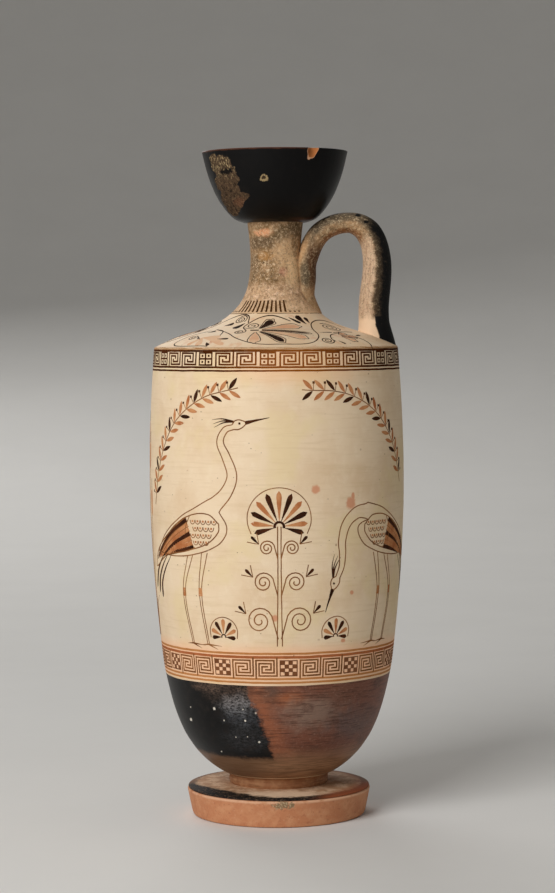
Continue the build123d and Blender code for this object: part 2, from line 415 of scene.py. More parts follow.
def painted(name, thick, thin, ground, worn=0.68, grain=9.0, warm=None):
    """Brushed gloss, thick or thin by turns, and rubbed through to the ground here and there."""
    paint = Finish(name, 0.75, 0.04, thick)
    paint.over(thin, 1.0, paint.blotch(grain, 0.3, 0.7))
    if warm:
        centre, size, tint = warm
        paint.over(tint, 1.0, paint.spot(centre, size, 0.3, 12.0, 0.6))
    paint.over(ground, 1.0, paint.blotch(2.2, worn, worn + 0.1, shift=3.0))
    return paint.done(paint.noise(0.6), 0.15, 0.05)


# What a user may change


def colour(name, description, code):
    return FloatVectorProperty(
        name=name, description=description, subtype="COLOR", size=3, min=0.0, max=1.0, default=tone(code)
    )


class FlaskColours(bpy.types.PropertyGroup):
    """Colours of the clay, the slips and the gloss."""

    cream: colour("White ground", "The fired white slip of the wall", "e8d0b0")
    cream_stain: colour("Stained ground", "The white slip where it is soiled", "d2b088")
    flake: colour("Flake", "Clay that shows where the slip has flaked", "cf8f6b")
    shoulder: colour("Shoulder ground", "The slip on the shoulder", "e6c6a0")
    clay: colour("Clay", "Bare fired clay of the foot", "c0805a")
    clay_pale: colour("Pale clay", "Clay rubbed or dusted pale", "d2a684")
    weathered: colour("Weathered slip", "The slip of the neck and the handle", "a98661")
    soil: colour("Soil", "Dark soil in the weathered slip", "4b3a2b")
    gloss: colour("Black gloss", "Black gloss in full strength", "0c0b0b")
    brick: colour("Red gloss", "Gloss fired red", "774a39")
    crust: colour("Crust", "Earth crust in a loss", "4a392a")
    line: colour("Line", "Painted line where the gloss is thick", "3a1c08")
    petal: colour("Petal", "Matt red-brown wash of the petals", "d9a27c")


class FlaskSizes(bpy.types.PropertyGroup):
    """Sizes that the painter and the potter could have chosen otherwise."""

    film: FloatProperty(
        name="Film", description="How far a painted film goes into the wall", default=0.08 * MM, unit="LENGTH"
    )
    upper_stroke: FloatProperty(
        name="Upper stroke", description="Stroke of the upper meander", default=0.82 * MM, unit="LENGTH"
    )
    lower_stroke: FloatProperty(
        name="Lower stroke", description="Stroke of the lower meander", default=0.74 * MM, unit="LENGTH"
    )
    wheel_steps: IntProperty(
        name="Wheel steps", description="Faces round each thrown piece", default=240, min=48, max=512
    )


def given():
    """The sizes and the colours as the user has set them."""
    scene = bpy.context.scene
    return scene.flask_sizes, scene.flask_colours


# The body and its bands

# Where the upper band is warmest
WARM_FRONT = (10, -58, 219)


class FLASK_OT_body(bpy.types.Operator):
    """Throw the body with its white ground and its dark coat below"""

    bl_idname = "flask.body"
    bl_label = "Body"

    INSIDE = ((54.2, BODY_TOP), (56.8, 163), (51.2, 80), (45.5, 55), (32, 36), (0, 28))
    COAT_START = BODY_BASE + 0.1
    COAT_DEPTH = 0.08
    COAT_RISE = 0.05
    COAT_ROWS = 60
    EDGE_WAVER = 0.15
    EDGE_GRAIN = 0.12
    # The line where black meets red leans from this height, by this slope
    MEETING = 50.0
    SLANT = 0.385
    # Places and half sizes of the spots where the slip has flaked
    FLAKES = (
        ((18.0, -58.7, 160.9), (1.9, 5.0, 2.0)),
        ((34.3, -50.8, 154.0), (2.2, 5.0, 2.8)),
        ((35.4, -50.0, 157.2), (0.8, 4.0, 1.8)),
        ((-1.2, -58.2, 101.3), (1.5, 5.0, 1.5)),
        ((30.5, -49.5, 89.5), (1.1, 4.0, 1.0)),
        ((34.6, -47.5, 112.0), (0.9, 4.0, 0.9)),
    )
    # Places across and up, and sizes, of the pale flecks on the black
    FLECKS = (
        (-30, 57, 0.75), (-41.5, 49.5, 0.85), (-41.5, 56, 0.3), (-10.5, 56, 0.5), (-15.5, 52, 0.5),
        (-25.5, 51.5, 0.4), (-9, 41.5, 0.55), (-27, 35, 0.35), (-16.5, 57.5, 0.3), (-14.5, 44, 0.3),
        (-20, 43.5, 0.3),
    )
    # Places, half sizes, colours and strengths of the patches on the black, where the grey ones are dust haze
    # with painted sheen on the side toward the light, and then of those on the red
    HAZE_AND_SHEEN = (
        ((-21, -49, 65.0), (14, 12, 5.6), "5c4a3f", 0.9),
        ((-33, -41, 67.5), (7, 12, 2.4), "7a6152", 0.8),
        ((-6, -53, 66.0), (9, 12, 4.0), "6a5345", 0.9),
        ((-19, -48, 59.5), (8, 14, 4.5), "8e8b8b", 0.9),
        ((-17, -47, 54.0), (9, 14, 4.5), "5c5e63", 0.6),
        ((-14, -41, 43.0), (11, 16, 7.0), "5a5a5c", 0.35),
    )
    FIRED = (
        ((-8, -53, 65.5), (10, 20, 4.6), "57463c", 0.85),
        ((6, -53, 62.5), (7, 20, 3.4), "a65f38", 0.75),
        # This grey patch is haze with painted sheen
        ((16, -48, 56.0), (14, 20, 8.0), "836e60", 0.75),
        ((37, -36, 48.0), (13, 20, 8.0), "5e504d", 0.7),
        ((30, -44, 65.0), (12, 20, 4.0), "6a4636", 0.6),
        ((20, -40, 38.0), (16, 20, 5.0), "6d4231", 0.6),
    )

    def execute(self, context):
        sizes, colours = given()
        steps = sizes.wheel_steps
        body = throw([*wall.line, *smooth_line(self.INSIDE, 10), (0, BODY_BASE)], steps)
        set_piece("body_wall", body, self.ground(colours), ["body"])
        film = film_section(wall, self.COAT_START, COAT_EDGE, self.COAT_DEPTH, self.COAT_RISE, self.COAT_ROWS)
        coat = throw(film, steps)
        for vert in coat.verts:
            if abs(vert.co.z - COAT_EDGE) < 0.01:
                vert.co.z += self.EDGE_WAVER * noise.noise(vert.co * self.EDGE_GRAIN)
        set_piece("body_gloss_coat", coat, self.coat(colours))
        return {"FINISHED"}

    def ground(self, colours):
        slip = Finish("white_ground_slip", 0.6, 0.2, colours.cream)
        slip.over(colours.cream_stain, 0.5, slip.blotch(26.0, 0.38, 0.72))
        slip.over("f2dfc4", 0.3, slip.blotch(5.0, 0.5, 0.75, shift=4.0))
        slip.over("e2cb9c", 0.6, slip.blotch(24.0, 0.48, 0.66, shift=11.0))
        slip.over("d4b890", 0.35, slip.blotch(1.4, 0.5, 0.68, stretch=WHEEL_MARKS, shift=6.0))
        # The slip is warmer round the lower band and at the front of the upper one
        height = slip.axis("Z")
        lower = slip.times(slip.step(height, 67.0, 74.0), slip.step(height, 91.0, 83.0))
        upper = slip.spot(WARM_FRONT, (34, 24, 9), 0.3, 14.0, 0.7)
        slip.over("f0bd96", 0.85, lower)
        slip.over("ecb98a", 0.6, upper)
        stains = slip.times(slip.speck(8.0, 0.09), slip.blotch(24.0, 0.5, 0.6, shift=2.0))
        slip.over("8a6448", 0.6, stains)
        pits = slip.times(slip.speck(3.4, 0.11, shift=3.0), slip.blotch(18.0, 0.52, 0.62, shift=9.0))
        slip.over("6f543e", 0.7, pits)
        losses = slip.blotch(9.0, 0.72, 0.76, shift=7.0)
        for centre, size in self.FLAKES:
            losses = slip.most(losses, slip.spot(centre, size, 0.22, 2.0, 0.3))
        slip.over(colours.flake, 0.9, losses)
        return slip.done(slip.plus(slip.noise(1.2), slip.times(losses, -1.0)), 0.22, 0.12)

    def coat(self, colours):
        gloss = Finish("bowl_gloss", 0.42, 0.15, colours.gloss)
        height = gloss.axis("Z")
        wheel = gloss.noise(0.7, 4.0, stretch=WHEEL_MARKS, roughness=0.7)
        dust = gloss.noise(0.9, 8.0, stretch=(0.6, 0.6, 1.0), roughness=0.8)
        gloss.over("221d1a", 0.7, gloss.blotch(5.0, 0.45, 0.75))
        # Dust haze, with painted grey sheen, where the dust lets it show
        for centre, size, tint, share in self.HAZE_AND_SHEEN:
            patch = gloss.spot(centre, size, 0.4, 5.0, 0.6)
            gloss.over(tint, share, patch, gloss.step(dust, 0.38, 0.66))
        for x, z, size in self.FLECKS:
            place = (x, -sqrt(wall.radius(z) ** 2 - x**2), z)
            gloss.over("d8d0c2", 1.0, gloss.spot(place, (size * 0.8, 1.2, size), 0.5, 0.7, 0.3))
        streaky = gloss.sway(4.0, 8.0, stretch=(0.35, 0.35, 1.0), roughness=0.75)
        slant = gloss.times(gloss.plus(height, -self.MEETING), self.SLANT)
        ragged = gloss.plus(streaky, gloss.sway(10.0, 9.0, shift=3.0), gloss.sway(1.3, 5.0, roughness=0.8))
        edge = gloss.plus(gloss.axis("X"), slant, ragged)
        red = gloss.step(edge, -9.0, -5.4)
        gloss.over(colours.brick, 1.0, red)
        for centre, size, tint, share in self.FIRED:
            gloss.over(tint, share, gloss.spot(centre, size, 0.45, 6.0, 0.7), red)
        gloss.over("9c5c3c", 0.6, red, gloss.step(edge, 4.0, -5.0))
        gloss.over("50342b", 0.6, red, gloss.blotch(6.0, 0.52, 0.68, stretch=(0.5, 0.5, 1.0), shift=5.0))
        gloss.over("a37c68", 0.5, red, gloss.step(dust, 0.5, 0.68))
        gloss.over("40251b", 0.6, red, gloss.step(wheel, 0.5, 0.62))
        # Below, the gloss ends: crisply where it is black, and fading where it is red
        level = gloss.plus(height, gloss.times(ragged, 0.4))
        crisp = gloss.step(level, 34.2, 29.8)
        faded = gloss.maths("SUBTRACT", gloss.step(level, 40.0, 27.0), crisp)
        low = gloss.plus(crisp, gloss.times(faded, red))
        gloss.over("9a7355", 1.0, low)
        gloss.over("5a4434", 0.65, low, gloss.step(gloss.axis("X"), 2.0, -16.0))
        gloss.over("6a4a33", 0.8, low, gloss.step(wheel, 0.42, 0.62))
        return gloss.done(wheel, 0.25, 0.1)


class Band(NamedTuple):
    """A meander band: paths on a grid of columns and rows, and boxes that stand in gaps between meanders.

    Rows go down from the top by a pitch, in millimetres. The first box stands at an angle in degrees, and the
    gap for a box is measured in millimetres at the band's middle height.
    """

    name: str
    top: float
    pitch: float
    columns: int
    paths: tuple
    count: int
    first: float
    gap: float
    middle: float

    def row(self, at):
        """The height of a row."""
        return self.top - self.pitch * at

    def centre(self, box):
        """Where a box stands, in degrees."""
        return self.first + 360 / self.count * box


class FLASK_OT_bands(bpy.types.Operator):
    """Paint the ruled lines, the meanders and the boxes of both bands"""

    bl_idname = "flask.bands"
    bl_label = "Bands"

    UPPER = Band(
        name="upper_meander",
        top=225.2,
        pitch=1.3,
        columns=6,
        paths=(
            ((0, 6), (0, 1), (4, 1), (4, 4), (2, 4), (2, 3)),
            ((5, 0), (5, 5), (1, 5), (1, 2), (3, 2), (3, 3)),
        ),
        count=12,
        first=-3.6,
        gap=9.6,
        middle=221,
    )
    LOWER = Band(
        name="lower_meander",
        top=82.8,
        pitch=1.47,
        columns=8,
        paths=(
            ((0, 7), (0, 1), (6, 1), (6, 5), (2, 5), (2, 3), (4, 3)),
            ((7, 0), (7, 6), (1, 6), (1, 2), (5, 2), (5, 4), (3, 4)),
        ),
        count=11,
        first=5.1,
        gap=9.5,
        middle=78,
    )
    # Heights, widths and finishes of the ruled lines
    LINES = {
        "upper_top_line": (225.0, 1.0, "upper"),
        "upper_low_line": (217.4, 0.95, "upper"),
        "upper_thin_line": (215.8, 0.85, "upper"),
        "lower_top_line": (84.45, 1.0, "ruled"),
        "lower_red_line": (82.75, 1.25, "rusty"),
        "lower_low_line": (72.5, 0.95, "ruled"),
        "lower_thin_line": (70.7, 0.95, "ruled"),
    }
    BOX_HALF = 3.45
    BOX_SPARE = 0.2
    BOX_STROKE = 0.78
    CROSS_STROKE = 0.82
    DOT = 1.0
    CHECKS = 4
    CHECK_WIDE = 1.83
    CHECK_HIGH = 1.7
    CHECK_TOP = 81.0
    CHECK_LAP = 0.1
    FRAME_SIDE = 0.3
    FRAME_END = 0.2
    FRAME_STROKE = 0.5

    def execute(self, context):
        sizes, colours = given()
        ground = colours.cream
        warm = (WARM_FRONT, (26, 22, 9), "864a1a")
        paints = {
            "upper": painted("upper_band_gloss", colours.line, "54290c", ground, 0.72, 14.0, warm),
            "lower": painted("lower_band_gloss", "66401f", "8f5c34", ground),
            "ruled": painted("lower_rule_gloss", "b0723f", "c08350", ground, 0.7, 14.0),
            "rusty": painted("lower_red_gloss", "97552f", "b26a42", ground, 0.7, 14.0),
            "check": painted("check_gloss", "6a4026", "85573a", ground, 0.7),
        }
        self.meander(self.UPPER, sizes.upper_stroke / MM, paints["upper"])
        self.boxes(self.UPPER, paints["upper"])
        self.meander(self.LOWER, sizes.lower_stroke / MM, paints["lower"])
        self.checks(self.LOWER, paints["check"])
        for name, (height, width, paint) in self.LINES.items():
            sheet = bmesh.new()
            brush(sheet, divided([(-180, height), (180, height)], 1.5), width, wobble=0.12)
            set_piece(name, lay(sheet, wall.wrap), paints[paint])
        return {"FINISHED"}

    def meander(self, band, stroke, paint):
        """Two meanders between each box and the next; columns are in degrees, rows in millimetres."""
        sheet = bmesh.new()
        unit = 360 / band.count
        gap = band.gap / wall.arc(band.middle)
        column = (unit - gap) / 2 / band.columns
        arc = wall.arc(band.top)
        for k in range(2 * band.count):
            left = band.first + gap / 2 + unit * (k // 2) + column * band.columns * (k % 2) + column / 2
            for path in band.paths:
                points = [((left + c * column) * arc, band.row(r)) for c, r in path]
                brush(sheet, divided(points, 1.9), stroke)
        set_piece(band.name, lay(sheet, wall.wrap, arc), paint)

    def boxes(self, band, paint):
        """A box with a cross and four dots between the upper meanders."""
        sheet = bmesh.new()
        arc = wall.arc(band.middle)
        half = self.BOX_HALF
        top = band.row(1) + self.BOX_SPARE
        low = band.row(5) - self.BOX_SPARE
        middle = band.row(3)
        for k in range(band.count):
            centre = band.centre(k) * arc
            left = centre - half
            right = centre + half
            outline = [(centre, top), (right, top), (right, low), (left, low), (left, top), (centre, top)]
            brush(sheet, divided(outline, 1.8), self.BOX_STROKE)
            for line in ([(left, middle), (right, middle)], [(centre, top), (centre, low)]):
                brush(sheet, divided(line, 1.8), self.CROSS_STROKE)
            for side in (-1, 1):
                for height in ((top + middle) / 2, (low + middle) / 2):
                    dot = centre + side * half / 2
                    spots = [(dot - self.DOT / 2, height), (dot, height), (dot + self.DOT / 2, height)]
                    brush(sheet, spots, self.DOT)
        set_piece("upper_boxes", lay(sheet, wall.wrap, arc), paint)

    def checks(self, band, paint):
        """A checkerboard in a fine frame between the lower meanders."""
        sheet = bmesh.new()
        arc = wall.arc(band.middle)
        count, wide, high, lap = self.CHECKS, self.CHECK_WIDE, self.CHECK_HIGH, self.CHECK_LAP
        low = self.CHECK_TOP - count * high - self.FRAME_END
        top = self.CHECK_TOP + self.FRAME_END
        for k in range(band.count):
            left = band.centre(k) * arc - count / 2 * wide
            for column in range(count):
                for row in range(column % 2, count, 2):
                    x = left + column * wide
                    y = self.CHECK_TOP - (row + 0.5) * high
                    brush(sheet, [(x - lap, y), (x + wide + lap, y)], high + 2 * lap)
            start = left - self.FRAME_SIDE
            end = left + count * wide + self.FRAME_SIDE
            outline = [(start, low), (start, top), (end, top), (end, low), (start, low)]
            brush(sheet, divided(outline, 1.8), self.FRAME_STROKE)
        set_piece("lower_checks", lay(sheet, wall.wrap, arc), paint)


class FLASK_OT_picture(bpy.types.Operator):
    """Paint the waterside picture of two cranes at a palmette plant, on the front and again on the back"""

    bl_idname = "flask.picture"
    bl_label = "Picture"

    GROUND = 88.0
    ARC = 60.5 * radians(1)
    # Each crane's place, the way it looks, its neck and its scale
    CRANES = ((-38.0, 1, "raised", 0.98), (54.5, -1, "lowered", 0.96))
    PLANT = 1.0
    CLUMP = 102.0
    SPRAYS = (
        (((-74, 152), (-67, 173), (-55, 191), (-37, 203), (-18, 208)), 1),
        (((76, 162), (67, 181), (53, 196), (34, 205), (12, 207)), -1),
    )
    # Widths of the painted lines
    LINE = 0.5
    BOLD = 0.55
    FINE = 0.45
    HAIR = 0.3
    # One crane that looks to the right, from the ground at its feet
    BACK = ((-35, 43), (-25, 52.5), (-11, 61.5), (-1.5, 66.0))
    BELLY = ((14.4, 57.5), (13.8, 52.5), (9, 47.5), (-4, 43), (-20, 41.5), (-35, 43))
    WING = (
        (10.5, 58), (4.5, 62.5), (-7, 61.3), (-21, 53.5), (-40, 36.5), (-25, 41.5), (-9, 44.5), (4, 48.5),
        (10, 54), (10.5, 58),
    )
    COVERT_EDGE = ((-6.5, 61.2), (-9.5, 54.5), (-7.5, 49), (-3.5, 45.8))
    NECKS = {
        "raised": ((8, 66.5), (14.5, 73), (17.5, 81), (14.5, 90), (11.5, 97), (14, 102.5), (18, 104)),
        "lowered": ((8.5, 64.5), (15.5, 64), (21.5, 59), (24, 51), (23.6, 44), (24, 38), (26, 33)),
    }
    NECK_HALF = 4.1
    NECK_TAPER = 2.9
    CREST = (0.2, 2.0, 4.0)
    CROWN = ((0, 1.2), (1.6, 2.5), (3.8, 2.5), (5.6, 1.4), (6.6, 0.6))
    THROAT = ((0, -1.2), (2.2, -1.9), (4.6, -1.5), (6.6, -0.4))
    BILL = ((6.2, 0.1), (10.5, -0.1), (18, -0.9))
    LEGS = (((2, 44), (-1.5, 25), (1.5, 0)), ((-7, 42.4), (-12.5, 24.5), (-8.5, 0)))
    TOES = ((8, -0.6), (5.6, -2.2), (-4.4, -0.4))
    SCALLOP = ((-1.5, 0), (-1.0, -1.5), (0, -2.0), (1.0, -1.5), (1.5, 0))
    # The plant's stalk and its volutes: reach, height and radius
    STALK = 56
    VOLUTES = ((9.8, 12.0, 6.6), (7.6, 30.0, 5.0), (5.8, 46.0, 3.7))
    # Lean and height of the reeds and of the blades between them
    REEDS = ((-6, 66), (-2, 90), (2.5, 80), (6, 58))
    BLADES = ((-9, 34), (8, 40), (-7, 22), (10, 20))

    def execute(self, context):
        colours = given()[1]
        self.sheets = {name: bmesh.new() for name in ("picture_lines", "picture_black", "picture_wash")}
        for place, turn, pose, scale in self.CRANES:
            self.crane((place, self.GROUND), turn, pose, scale)
        self.plant((self.PLANT, self.GROUND))
        for points, turn in self.SPRAYS:
            self.spray(points, turn)
        self.reeds((self.CLUMP, self.GROUND))
        paints = {
            "picture_lines": painted("picture_line", "6a4024", "96653a", colours.cream, 0.66, 12.0),
            "picture_black": painted("picture_black", "2a170d", "4e2a18", colours.cream, 0.7),
            "picture_wash": painted("picture_wash", "a8643b", "c78e60", colours.cream, 0.64, 7.0),
        }
        for name, sheet in self.sheets.items():
            copy = bmesh.ops.duplicate(sheet, geom=[*sheet.verts, *sheet.edges, *sheet.faces])["geom"]
            behind = [part for part in copy if isinstance(part, bmesh.types.BMVert)]
            bmesh.ops.translate(sheet, verts=behind, vec=(180 * self.ARC, 0, 0))
            set_piece(name, lay(sheet, wall.wrap, self.ARC), paints[name])
        return {"FINISHED"}

    def dab(self, paint, points, width, shape=None, across=1):
        brush(self.sheets["picture_" + paint], points, width, shape, across)

    def crane(self, origin, turn, pose, scale):
        """One crane; turn is 1 where it looks to the right."""

        def at(points, steps=7):
            spots = [(origin[0] + turn * scale * x, origin[1] + scale * y) for x, y in points]
            return smooth_line(spots, steps) if steps else spots

        neck = smooth_line(self.NECKS[pose], 6)
        last = len(neck) - 1
        edges = {1: [], -1: []}
        for k, spot in enumerate(neck):
            lean = (neck[min(k + 1, last)] - neck[max(k - 1, 0)]).normalized().orthogonal()
            for side, edge in edges.items():
                edge.append(spot + lean * side * (self.NECK_HALF - self.NECK_TAPER * (k / last) ** 0.5))
        self.dab("lines", at([*smooth_line([*self.BACK, edges[1][0]], 7)[:-1], *edges[1]], 0), self.LINE)
        self.dab("lines", at([*edges[-1][:0:-1], *smooth_line([edges[-1][0], *self.BELLY], 7)], 0), self.LINE)
        head = neck[-1]
        ahead = (neck[-1] - neck[-2]).normalized()
        aside = ahead.orthogonal()

        def from_head(points, steps=5):
            return at([head + ahead * x + aside * y for x, y in points], steps)

        self.dab("lines", from_head(self.CROWN), self.LINE)
        self.dab("lines", from_head(self.THROAT), self.LINE)
        self.dab("black", from_head(self.BILL), 2.0 * scale, bill_width)
        self.dab("black", from_head([(3.1, 0.7), (4.1, 0.7)], 0), 1.0)
        for spread in self.CREST:
            crest = [(1.0, 2.4), (-4, 3.2 + spread * 0.5), (-9.5, 2.4 + spread)]
            self.dab("black", from_head(crest), 0.9, bill_width)
        self.wing(at)
        for k in range(3):
            plume = [(-27 + 3 * k, 43 - 0.4 * k), (-38 + 2.5 * k, 33 - 2.4 * k), (-43 + 4.5 * k, 24 - 2 * k)]
            self.dab("black", at(plume), 2.4, leaf_width, 2)
        for hip, knee, foot in self.LEGS:
            for side in (-0.75, 0.75):
                spread = ((hip, 2.2), (knee, 1.0), (foot, 0.7))
                shin = [(joint[0] + side * wide, joint[1]) for joint, wide in spread]
                self.dab("lines", at(shin, 8), self.FINE)
            for toe in self.TOES:
                self.dab("lines", at([foot, (foot[0] + toe[0], foot[1] + toe[1])], 3), 0.75, bill_width)
            self.dab("wash", at([(knee[0], knee[1] + 2), (knee[0], knee[1] - 2)], 3), 2.2)

    def wing(self, at):
        """The folded wing: long feathers below, and scalloped coverts before them."""
        self.dab("lines", at(self.WING, 8), self.BOLD)
        self.dab("lines", at(self.COVERT_EDGE), self.FINE)
        for k in range(7):
            share = k / 6
            start = (-8.5 + 4 * share, 59.5 - 13.2 * share)
            end = (-37.5 + 15 * share, 38.5 + 3.6 * share)
            middle = ((start[0] + end[0]) / 2, (start[1] + end[1]) / 2 + 1.6 - 1.4 * share)
            paint = "black" if k % 3 == 0 else "wash"
            self.dab(paint, at([start, middle, end]), 1.9, feather_width, 2)
            self.dab("lines", at([(x, y + 1.25) for x, y in (start, middle, end)]), self.HAIR)
        for row in range(4):
            for column in range(5 - row % 2):
                x = -4.5 + 3.1 * column + 1.5 * (row % 2)
                y = 59.5 - 3.3 * row
                if x < 9.0 - 0.9 * row:
                    scallop = [(x + across, y + down) for across, down in self.SCALLOP]
                    self.dab("lines", at(scallop, 3), 0.38)
                    self.dab("wash", at([(x - 0.5, y - 0.6), (x + 0.5, y - 0.6)], 0), 0.9)

    def plant(self, origin):
        """The plant in the middle: a stem with volutes and a crown of petals."""
        x, y = origin
        for side in (-0.8, 0.8):
            stalk = [(x + side * 1.6, y), (x + side, y + 30), (x + side, y + self.STALK)]
            self.dab("lines", smooth_line(stalk, 10), self.LINE)
        for side in (-1, 1):
            for reach, height, radius in self.VOLUTES:
                centre = (x + side * reach, y + height)
                volute = spiral(centre, radius, 180 if side > 0 else 0, -side, 2.1)
                self.dab("lines", [(x + side * 0.8, y + height - radius * 1.3), *volute], self.BOLD)
                bud = Vector((x + side * (reach + radius), y + height + radius * 0.5))
                self.dab("black", divided([bud, bud + Vector((side * 3.6, 3.6))], 0.6), 2.0, leaf_width, 2)
                for lean in (-35, 35):
                    tip = Matrix.Rotation(radians(lean), 2) @ Vector((side * 4.0, 4.0))
                    self.dab("lines", divided([bud, bud + tip], 0.8), 0.4)
        self.palmette((x, y + self.STALK), 16.5, 11, 105)
        for side in (-1, 1):
            self.palmette((x + side * 28.5, y + 4), 8.5, 7, 95)

    def palmette(self, heart, reach, count, spread):
        """A fan of petals over a heart, black and washed in turn, with a fine line round them."""
        heart = Vector(heart)
        rim = []
        for k in range(count):
            lean = radians(-spread + 2 * spread * k / (count - 1))
            ahead = Vector((sin(lean), cos(lean)))
            length = reach * (0.78 + 0.22 * cos(lean))
            points = divided([heart + ahead * reach * 0.16, heart + ahead * length], reach / 10)
            self.dab("wash" if k % 2 else "black", points, reach * 2.2 / count, leaf_width, 2)
            rim.append(heart + ahead * (length + reach * 0.09))
        self.dab("lines", smooth_line(rim, 5), 0.42)
        turns = [radians(a) for a in range(-110, 111, 20)]
        arch = [heart + Vector((sin(a), cos(a))) * reach * 0.13 for a in turns]
        self.dab("black", arch, reach * 0.07)

    def spray(self, points, turn):
        """A laurel spray with leaves in pairs and berries between them."""
        twig = smooth_line(points, 12)
        self.dab("lines", twig, self.FINE)
        for k in range(3, len(twig) - 1, 3):
            lean = (twig[k + 1] - twig[k - 1]).normalized()
            for side in (-1, 1):
                ahead = (lean + lean.orthogonal() * side * 0.9).normalized()
                base = twig[k] + ahead * 0.6
                paint = "black" if (k // 3 + side) % 4 == 0 else "wash"
                leaf = divided([base, base + ahead * 6.4], 0.7)
                self.dab(paint, leaf, 1.9, laurel_width, 2)
            berry = twig[k] + lean.orthogonal() * turn * 3.6
            self.dab("lines", divided([twig[k], berry], 1.0), self.HAIR)
            self.dab("black", [berry - Vector((0.55, 0)), berry, berry + Vector((0.55, 0))], 1.1)

    def reeds(self, origin):
        """A clump of reeds that parts the front picture from the one behind."""
        x, y = origin

        def grown(lean, height, start, middle, rise):
            points = [(x + lean * start, y), (x + lean * middle, y + height * rise), (x + lean, y + height)]
            return smooth_line(points, 10)

        for lean, height in self.REEDS:
            stalk = grown(lean, height, 0.3, 0.6, 0.5)
            self.dab("lines", stalk, self.LINE)
            top = stalk[-1]
            tip = top + Vector((lean * 0.1, 13))
            self.dab("wash", divided([top, tip], 1.2), 3.0, reed_width, 2)
            self.dab("black", divided([tip, tip + Vector((lean * 0.06, 5))], 1.2), 0.5)
        for lean, height in self.BLADES:
            self.dab("lines", grown(lean, height, 0.2, 0.5, 0.75), 1.3, bill_width)


# The shoulder, the neck and the mouth


